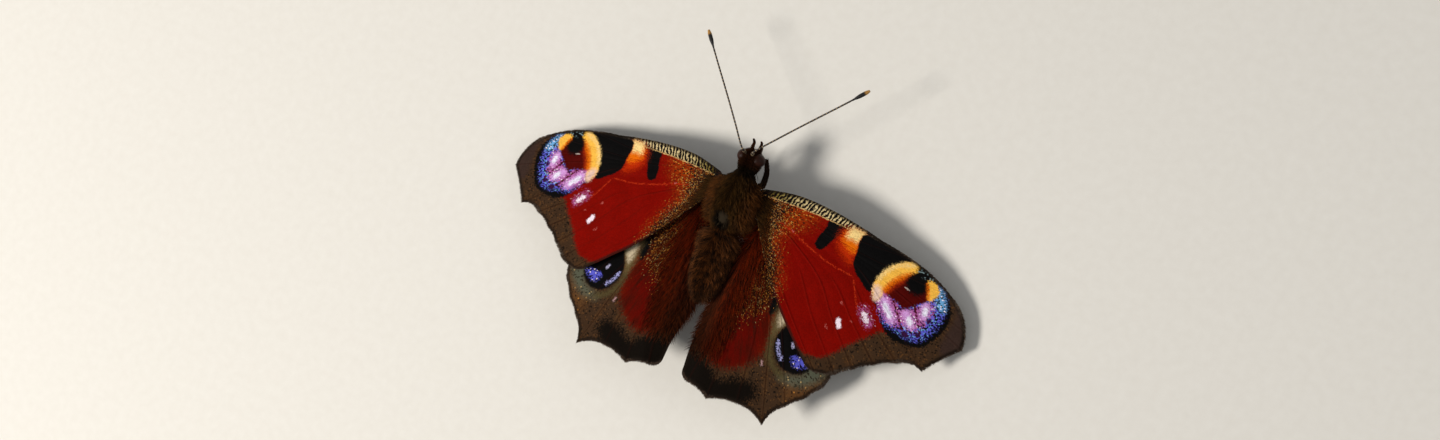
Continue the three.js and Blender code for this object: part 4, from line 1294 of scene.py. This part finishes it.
def wing_lie(wing, ground, outward, rearward, side):
    """A direction along a wing's surface, out along p and back along q, in the shared frame."""
    _, normals = vertex_places(ground)
    local = columns_of(outward, -rearward, np.zeros(len(normals)))
    lie = local @ wing_matrix(wing)[:3, :3].T
    lie[:, 0] *= side
    return lie - normals * np.sum(lie * normals, axis=1, keepdims=True)


def build_forewing_hair(places, side_name):
    side = SIDES[side_name]
    ground, p, q = wing_ground(FOREWING, places[:len(places) * 3 // 5:2, ::3], side, 0.08)
    lie = wing_lie(FOREWING, ground, 1.0, 0.5 + 0.1 * q, side)
    along_inner = 1 - smoothstep(p - 0.42 * q, -0.3, 0.8)
    hairy = np.clip((1 - smoothstep(p, 0.0, 1.3)) + 0.4 * along_inner, 0, 1) * (q > 0.1) * (p > -0.6)
    grow_coat(
        f"hair_forewing_{side_name}", ground, "forewing_hair",
        tuft="long", hairs=1500, thickness=0.024, disorder=0.24, seed=21, cover=hairy, lie=lie, lay=0.86,
        length=lerp(1.0, 0.45, smoothstep(p, 0, 3)), tint=smoothstep(p, 0.4, 3),
    )
    behind = 1 - smoothstep(p - 0.45 * q, 0.2, 2.4)
    dusty = np.clip((1 - smoothstep(p, 0.8, 5.2)) + 0.6 * behind, 0, 1) * (q > -0.1)
    grow_coat(
        f"dust_forewing_{side_name}", ground, "dust",
        tuft="scale", hairs=3600, thickness=0.048, disorder=0.35, seed=23, cover=dusty**1.5, lie=lie, lay=0.8,
        length=0.16,
    )
    remove(ground)


def build_hindwing_hair(places, side_name):
    side = SIDES[side_name]
    ground, p, q = wing_ground(HINDWING, places[:len(places) * 6 // 7:2, ::3], side, 0.08)
    inner = 1 - smoothstep(p, 0.2, 3)
    hairy = np.clip(inner * (1 - smoothstep(q, 13, 17)) + 0.2 * (1 - smoothstep(p, 2, 5)) * (q < 9), 0, 1)
    # the hair at the inner margin leans over its edge, towards the abdomen
    edge_p, edge_q = np.array(HINDWING["lines"][-1][3]).T
    from_edge = p - np.interp(q, edge_q, edge_p)
    over_edge = lerp(-1.3, -0.8, smoothstep(q, 3, 7))
    outward = lerp(over_edge, 0.2, smoothstep(from_edge, 0.1, 0.9))
    grow_coat(
        f"hair_hindwing_{side_name}", ground, "hindwing_hair",
        tuft="long", hairs=6200, thickness=0.028, disorder=0.14, seed=25,
        cover=hairy, lie=wing_lie(HINDWING, ground, outward, 1.0, side), lay=0.88,
        length=lerp(1.7, 1.0, smoothstep(q, 4, 15)),
        tint=smoothstep(p, -0.6, 0.6) * lerp(1, 0.55, smoothstep(q, 8, 14)),
    )
    dusty = (1 - smoothstep(p, 2.6, 6.6)) * (1 - smoothstep(q, 5.5, 14)) * smoothstep(p, -0.8, 0.2)
    grow_coat(
        f"dust_hindwing_{side_name}", ground, "dust",
        tuft="scale", hairs=5800, thickness=0.048, disorder=0.35, seed=27,
        cover=dusty**1.3, lie=wing_lie(HINDWING, ground, 0.5, 1.0, side), lay=0.8, length=0.16,
    )
    remove(ground)


def build_fringe(wing, places, side_name):
    """Short scales that stand out from the outer margin of a wing."""
    side = SIDES[side_name]
    strip = places[-4:, ::2]
    ground, p, q = wing_ground(wing, strip, side, 0.02)
    outward = np.repeat(unit(strip[-1] - strip[0])[None], len(strip), axis=0).reshape(-1, 2)
    grow_coat(
        f"fringe_{wing['name']}_{side_name}", ground, "fringe",
        tuft="scale", hairs=4000, thickness=0.035, disorder=0.1, seed=31, cover=np.ones_like(p),
        lie=wing_lie(wing, ground, outward[:, 0], outward[:, 1], side), lay=0.97, length=0.3,
        tint=0.3 * (np.sin(2.2 * q) > 0.6),
    )
    remove(ground)


def build_wing_hair():
    """Hair and loose scales over the roots of the wings, and a fringe along their margins."""
    fore_places, _ = wing_grid(FOREWING)
    hind_places, _ = wing_grid(HINDWING)
    for side_name in SIDES:
        build_forewing_hair(fore_places, side_name)
        build_hindwing_hair(hind_places, side_name)
        build_fringe(FOREWING, fore_places, side_name)
        build_fringe(HINDWING, hind_places, side_name)


# Body
def body_shape(part, t):
    """Half width, half height and level of a part of the body at the share t of its length."""
    size = BODY[part]
    end = lerp(size["first"], size["last"], t)
    swell = np.sin(np.pi * t ** size["skew"]) ** size["fullness"]
    level = lerp(*size["level"], t ** size["sag"])
    return lerp(end, size["width"], swell), lerp(end, size["height"], swell), level


def body_ends(part):
    size = BODY[part]
    return (size["rear"], size["front"]) if part == "head" else (size["front"], size["rear"])


def body_point(part, t, angle):
    half_width, half_height, level = body_shape(part, t)
    y = lerp(*body_ends(part), t)
    return np.array([half_width * math.cos(angle), y, level + half_height * math.sin(angle)])


def seat_of(seat):
    """A limb's seat on the body and the direction square to the skin there."""
    part, t, angle = seat
    if part == "face":
        return np.array([t, HEAD["front"], HEAD["level"][0] + angle]), np.array([0.0, 1.0, 0.0])
    turn = math.radians(angle)
    step = 0.01
    across = body_point(part, t, turn + step) - body_point(part, t, turn - step)
    along = body_point(part, t + step, turn) - body_point(part, t - step, turn)
    normal = unit(np.cross(across, along))
    if normal @ (math.cos(turn), 0, math.sin(turn)) < 0:
        normal = -normal
    return body_point(part, t, turn), normal


def limb_line(limb, sink):
    """The points a limb runs through, from a root sunk below the fur."""
    point, normal = seat_of(limb["seat"])
    first = point + normal * (BOSS_HEIGHT + JOINT_GAP)
    return [point - normal * sink, first, first + normal * limb["straight"]] + limb["through"]


def skin_shape(y):
    """Half width, half height and level of the skin at y; the level is None between two parts."""
    for part, depth in COAT_DEPTH.items():
        start, end = body_ends(part)
        t = (y - start) / (end - start)
        if 0 <= t <= 1:
            half_width, half_height, level = body_shape(part, t)
            return half_width - depth, half_height - depth, level
    radius = NECK_RADIUS if y > 0 else WAIST_RADIUS
    return radius, radius, None


def rounded_end(from_end, length):
    """How far a body has opened at a distance from its closed end."""
    return np.sqrt(np.clip(1 - (1 - np.clip(from_end / length, 0, 1)) ** 2, 0.02, 1))


def body_skin():
    """One skin from the face to the tip of the abdomen, inside the solids by the depth of the coat."""
    stations = np.linspace(HEAD["front"] - 0.12, ABDOMEN["rear"] + 0.1, SKIN_STATIONS)
    shapes = []
    for y in stations:
        half_width, half_height, level = skin_shape(y)
        shapes.append((half_width, half_height, shapes[-1][2] if level is None else level))
    reach = 12
    step = abs(stations[1] - stations[0])
    window = np.exp(-0.5 * (np.arange(-reach, reach + 1) * step / SKIN_SMOOTHING) ** 2)
    window /= window.sum()
    padded = np.pad(shapes, ((reach, reach), (0, 0)), mode="edge")
    half_width, half_height, level = (np.convolve(padded[:, k], window, mode="valid") for k in range(3))
    in_abdomen = np.clip((ABDOMEN["front"] - stations) / ABDOMEN_LENGTH, 0, 1)
    segments = in_abdomen * ABDOMEN_SEGMENTS
    from_seam = np.abs(segments - np.round(segments)) / ABDOMEN_SEGMENTS * ABDOMEN_LENGTH
    ringed = 1 - 0.05 * bell(from_seam, 0.09) * (in_abdomen > 0.03) * (in_abdomen < 0.97)
    ends = rounded_end(stations[0] - stations, 0.55) * rounded_end(stations - stations[-1], 0.8)
    angles = circle(SKIN_SIDES)
    x = (half_width * ends * ringed)[:, None] * np.cos(angles)
    z = level[:, None] + (half_height * ends * ringed)[:, None] * np.sin(angles)
    y = np.repeat(stations[:, None], SKIN_SIDES, axis=1)
    caps = [(0, stations[0] + 0.02, level[0]), (0, stations[-1] - 0.02, level[-1])]
    points = np.vstack([np.stack([x, y, z], axis=-1).reshape(-1, 3), caps])
    skin = mesh_object("body_skin", points, closed_faces(SKIN_STATIONS, SKIN_SIDES))
    turn_outwards(skin)
    skin.data.materials.append(MATERIALS["fur"])
    u = np.concatenate([np.tile(0.01 + 0.97 * np.arange(SKIN_SIDES) / SKIN_SIDES, SKIN_STATIONS), [0.5, 0.5]])
    v = np.concatenate([np.repeat(np.linspace(0.01, 0.98, SKIN_STATIONS), SKIN_SIDES), [0.005, 0.99]])
    set_unwrap(skin, "skin_unwrap", np.column_stack([u, v]))
    return skin


def grow_body_coats(skin):
    places, normals = vertex_places(skin)
    x, y, z = places.T
    side = np.sign(x)
    up = normals[:, 2]
    thorax = smoothstep(y, -6.2, -5.4) * (1 - smoothstep(y, 1.5, 2.1))
    head = smoothstep(y, 1.5, 2.0)
    abdomen = 1 - smoothstep(y, -6.0, -5.2)
    plate = smoothstep(np.hypot(x, PLATE["squash"] * (y - PLATE["y"])), 0.5, 0.95)
    plate = np.where(z > HINGE_HEIGHT, plate, 1.0)
    flank = smoothstep(np.abs(x), 1.2, 2.0)
    grow_coat(
        "coat_thorax_under", skin, tuft="short", hairs=17000, thickness=0.045, disorder=0.28, seed=3,
        cover=thorax * plate, lie=columns_of(0.3 * side, -1.0, 0.1 * up), lay=0.72, length=0.8,
    )
    grow_coat(
        "coat_thorax_long", skin, tuft="long", hairs=8500, thickness=0.045, disorder=0.3, seed=5,
        cover=thorax * plate**2, lie=columns_of(lerp(0.25, 0.9, flank) * side, -1.0, 0.1 * up),
        lay=lerp(0.82, 0.74, flank), length=lerp(1.25, 0.8, smoothstep(-y, 2.5, 4.5) * (1 - flank)),
    )
    # the shoulders' hair spreads over the roots of the wings
    at_wings = smoothstep(z, HINGE_HEIGHT - 0.9, HINGE_HEIGHT) * (1 - smoothstep(z, 7.6, 8.4))
    grow_coat(
        "coat_shoulders", skin, tuft="long", hairs=2200, thickness=0.036, disorder=0.36, seed=6,
        cover=thorax * flank * at_wings, lie=columns_of(side, -0.75, 0.04), lay=0.84, length=1.75,
    )
    grow_coat(
        "coat_abdomen", skin, tuft="short", hairs=13000, thickness=0.042, disorder=0.2, seed=7,
        cover=abdomen, lie=columns_of(0.1 * side, -1.0, 0.02 * z), lay=0.82, length=0.6,
    )
    waist = smoothstep(y, -8.5, -6)
    shaggy = abdomen * (0.35 + 0.65 * smoothstep(np.abs(x), 0.7, 1.4))
    grow_coat(
        "coat_flanks", skin, tuft="long", hairs=8000, thickness=0.034, disorder=0.34, seed=9,
        cover=shaggy, lie=columns_of(lerp(0.4, 0.9, waist) * side, -1.0, -0.1), lay=0.76,
        length=lerp(1.0, 1.8, waist),
    )
    grow_coat(
        "coat_head", skin, tuft="short", hairs=9000, thickness=0.026, disorder=0.3, seed=11,
        cover=head, lie=columns_of(0.4 * side, 0.35, 0.5 * up + 0.2), lay=0.45, length=0.48,
    )


def build_body():
    skin = body_skin()
    places, _ = vertex_places(skin)
    set_vectors(skin, "root", metres(places))
    set_numbers(skin, "along", np.full(len(places), 0.25))
    set_numbers(skin, "strand", np.full(len(places), 0.4))
    grow_body_coats(skin)
    finish_piece(skin, ["head", "thorax", "abdomen"])


# Eyes and limbs
def build_eyes():
    look = unit(EYE["look"])
    ahead = unit(np.cross((0, 0, 1.0), look))
    up = np.cross(look, ahead)
    middle = np.array([0, EYE["head_middle"], HEAD["level"][0]]) + look * (EYE["from_middle"] + 0.1)
    bulge = EYE["bulge"] + 0.2
    sides = 64
    angles = circle(sides)[:, None]
    oval = np.cos(angles) * ahead + np.sin(angles) * up * 1.08
    rings = []
    for turn in np.radians(np.linspace(-35, 90, 40))[:-1]:
        rings.append(middle + EYE["radius"] * math.cos(turn) * oval + look * bulge * math.sin(turn))
    points = np.vstack(rings + [[middle - look * 0.3], [middle + look * bulge]])
    faces = closed_faces(len(rings), sides)
    for side_name, side in SIDES.items():
        closed_piece(f"eye_{side_name}_dome", points, faces, side, "eye", "eye", f"eye_{side_name}")


def build_antennae():
    shares = np.linspace(0, 1, 330)
    middle = at_shares(spline(limb_line(ANTENNA, 0.2), centripetal=True), shares)
    tip = np.sqrt(np.clip(1 - smoothstep(shares, 0.955, 1.004) ** 1.5, 0.02, 1))
    club = smoothstep(shares, ANTENNA["club_from"], 0.93) * tip
    thick = lerp(ANTENNA["shaft"], ANTENNA["club"], club)
    beads = 1 + 0.09 * np.cos(2 * np.pi * shares * ANTENNA["segments"]) * (1 - club)
    pedicel = 1 + 0.9 * bell(shares - 0.05, 0.02)
    points, faces, along = tube(middle, thick * beads * pedicel, 14)
    for side_name, side in SIDES.items():
        closed_piece(
            f"antenna_{side_name}_beads", points, faces, side, "antenna", "shell", f"antenna_{side_name}",
            along=along,
        )


def build_palps():
    shares = np.linspace(0, 1, 40)
    middle = at_shares(spline(limb_line(PALP, 0.3), centripetal=True), shares)
    thick = lerp(0.15, 0.05, shares) * np.sqrt(np.clip(1 - shares**6, 0.02, 1))
    points, faces, along = tube(middle, thick, 16)
    skin_tone = np.full(len(points), 0.4)
    for side_name, side in SIDES.items():
        palp = closed_piece(
            f"palp_{side_name}_core", points, faces, side, "fur", "fur", f"palp_{side_name}",
            along=skin_tone, strand=skin_tone,
        )
        places, _ = vertex_places(palp)
        set_vectors(palp, "root", metres(places))
        unwrap_limb(palp, along)
        grow_coat(
            f"coat_palp_{side_name}", palp, tuft="short", hairs=1600, thickness=0.02, disorder=0.12, seed=15,
            cover=np.ones(len(points)), lie=np.tile((0.1 * side, 0.9, 0.35), (len(points), 1)), lay=0.86,
            length=lerp(0.34, 0.2, along),
        )


def spur(line, radii, sides, share):
    """A small tube that grows at a share of a leg's length."""
    points, faces, shares = tube(line, radii, sides)
    return points, faces, np.full_like(shares, share)


def leg_claws(middle):
    heading = unit(middle[-1] - middle[-4])
    across = unit(np.cross(heading, (0, 0, 1.0)))
    start = middle[-1] - heading * 0.05
    thick = np.linspace(0.045, 0.008, 8)
    claws = []
    for way in (-1, 1):
        bend = start + heading * 0.14 + across * 0.07 * way
        tip = start + heading * 0.22 + across * 0.1 * way - (0, 0, 0.06)
        claw = at_shares(spline([start, bend, tip], centripetal=True), np.linspace(0, 1, 8))
        claw[:, 2] = np.maximum(claw[:, 2], thick)
        claws.append(spur(claw, thick, 6, 1))
    return claws


def leg_spines(middle, radii):
    spines = []
    for share in np.linspace(0.45, 0.95, 16):
        at = int(share * (len(middle) - 1))
        along = unit(middle[at + 1] - middle[at - 1])
        aside = unit(np.cross(along, (0, 0, 1.0)))
        for way in (-1, 1):
            root = middle[at] + aside * way * radii[at] * 0.7
            tip = root + aside * way * 0.16 + along * 0.16 - (0, 0, 0.02)
            tip[2] = max(tip[2], 0.01)
            spines.append(spur(np.linspace(root, tip, 3), (0.02, 0.015, 0.003), 4, share))
    return spines


def leg_form(leg):
    """The middle line of a leg, and its points, triangles and shares."""
    shares = np.linspace(0, 1, 130)
    middle = at_shares(spline(limb_line(leg, 0.2), centripetal=True), shares)
    radii = np.interp(shares, np.linspace(0, 1, len(leg["radii"]) + 1), (leg["radii"][0],) + leg["radii"])
    if not leg["feet"]:
        return middle, tube(middle, radii, 14)
    knee = bell(shares - 0.38, 0.02)
    ankle = bell(shares - 0.72, 0.015)
    joints = sum(bell(shares - share, 0.008) for share in (0.79, 0.845, 0.9, 0.95))
    radii = radii * (1 - 0.22 * knee - 0.2 * ankle - 0.25 * joints)
    middle[:, 2] = np.maximum(middle[:, 2], radii)
    return middle, join([tube(middle, radii, 14)] + leg_claws(middle) + leg_spines(middle, radii))


def grow_leg_hair(limb, name, side, middle, along, feet):
    """Hair along a leg: a foreleg is a brush without a foot, a walking leg has hair on its upper half."""
    unwrap_limb(limb, along)
    heading = unit(np.gradient(middle, axis=0))
    shares = np.linspace(0, 1, len(middle))
    lie = np.column_stack([np.interp(along, shares, heading[:, k]) for k in range(3)])
    lie[:, 0] *= side
    if feet:
        grow_coat(
            name, limb, tuft="short", hairs=2200, thickness=0.02, disorder=0.22, seed=19,
            cover=1 - smoothstep(along, 0.4, 0.72), lie=lie, lay=0.86, length=0.3,
        )
    else:
        grow_coat(
            name, limb, tuft="short", hairs=1800, thickness=0.022, disorder=0.16, seed=17,
            cover=np.ones_like(along), lie=lie, lay=0.9, length=0.36,
        )


def build_legs():
    for leg_name, leg in (("foreleg", FORELEG), ("midleg", MIDLEG), ("hindleg", HINDLEG)):
        middle, (points, faces, along) = leg_form(leg)
        for side_name, side in SIDES.items():
            node = f"{leg_name}_{side_name}"
            limb = closed_piece(f"{node}_shaft", points, faces, side, "leg", "shell", node, along=along)
            grow_leg_hair(limb, f"coat_{node}", side, middle, along, leg["feet"])


def build_tongue():
    point, normal = seat_of(TONGUE["seat"])
    start = point + normal * (BOSS_HEIGHT + JOINT_GAP)
    ahead = np.array([0, -normal[2], normal[1]])
    centre = start + ahead * TONGUE["curl"]
    first = math.atan2(start[2] - centre[2], start[1] - centre[1])
    t = np.linspace(0, 1, 120)
    angles = first + math.radians(TONGUE["turn"]) * t
    out = columns_of(0.0, np.cos(angles), np.sin(angles))
    middle = centre + out * lerp(TONGUE["curl"], TONGUE["inner"], t)[:, None]
    middle = np.vstack([point - normal * 0.4, middle])
    points, faces, along = tube(middle, TONGUE["radius"] * np.linspace(1, 0.6, len(middle)), 14)
    closed_piece("tongue_coil", points, faces, 1.0, "tongue", "shell", "tongue", along=along)


# Floor, light and camera
def build_floor():
    size = 1.2
    mesh = bpy.data.meshes.new("floor")
    corners = [(-size, -size, 0), (size, -size, 0), (size, size, 0), (-size, size, 0)]
    mesh.from_pydata(corners, [], [(0, 1, 2, 3)])
    floor = new_object("floor", mesh)
    material, nodes, shader = new_material("floor_paper", 0.9, 0.2)
    grain = nodes.noise(nodes.object_place(), 900.0, 3.0)
    nodes.feed(shader["Base Color"], nodes.mix(grain, screen(224, 219, 210), screen(232, 228, 220)))
    mesh.materials.append(material)


def hang(name, data, right, up, back, place):
    """Puts a lamp or a camera at a place in metres, looking away from back."""
    matrix = np.eye(4)
    matrix[:3] = np.column_stack([right, up, back, place])
    made = new_object(name, data)
    made.matrix_world = Matrix(matrix.tolist())
    return made


def build_light(name, place, size, power, colour):
    light = bpy.data.lights.new(name, "AREA")
    light.shape = "DISK"
    light.size = size
    light.energy = power
    light.color = colour
    body_height = np.array((0, 0, 0.006))
    back = unit(place - body_height)
    right = unit(np.cross((0, 1.0, 0), back))
    hang(name, light, right, np.cross(back, right), back, place)


def build_camera():
    """The photograph's view: from above, leaning a little to the butterfly's right."""
    right, down, back = (np.array(CAMERA[axis]) for axis in ("right", "down", "back"))
    hinges = np.array((0, Y_SHIFT, HINGE_HEIGHT))
    aim = CAMERA["aim_right"] * right + CAMERA["aim_down"] * down + hinges
    camera = bpy.data.cameras.new("camera")
    camera.lens = CAMERA["lens"]
    camera.sensor_width = 36.0
    camera.clip_start = 0.01
    bpy.context.scene.camera = hang("camera", camera, right, -down, back, (aim + CAMERA["away"] * back) * MM)


def build_world():
    world = bpy.data.worlds.new("studio")
    world.use_nodes = True
    background = world.node_tree.nodes["Background"].inputs
    background["Color"].default_value = (0.95, 0.97, 1.0, 1.0)
    background["Strength"].default_value = 0.3
    bpy.context.scene.world = world
    bpy.context.scene.view_settings.view_transform = "Standard"


build_camera()
build_world()
build_light("key", (-0.26, -0.22, 0.4), 0.15, 2.5, (1.0, 0.97, 0.92))
build_light("fill", (0.4, 0.2, 0.3), 0.3, 0.25, (0.92, 0.96, 1.0))
build_floor()
build_wings()
build_wing_hair()
build_body()
build_eyes()
build_antennae()
build_palps()
build_legs()
build_tongue()
for tuft in TUFTS.values():
    remove(tuft)
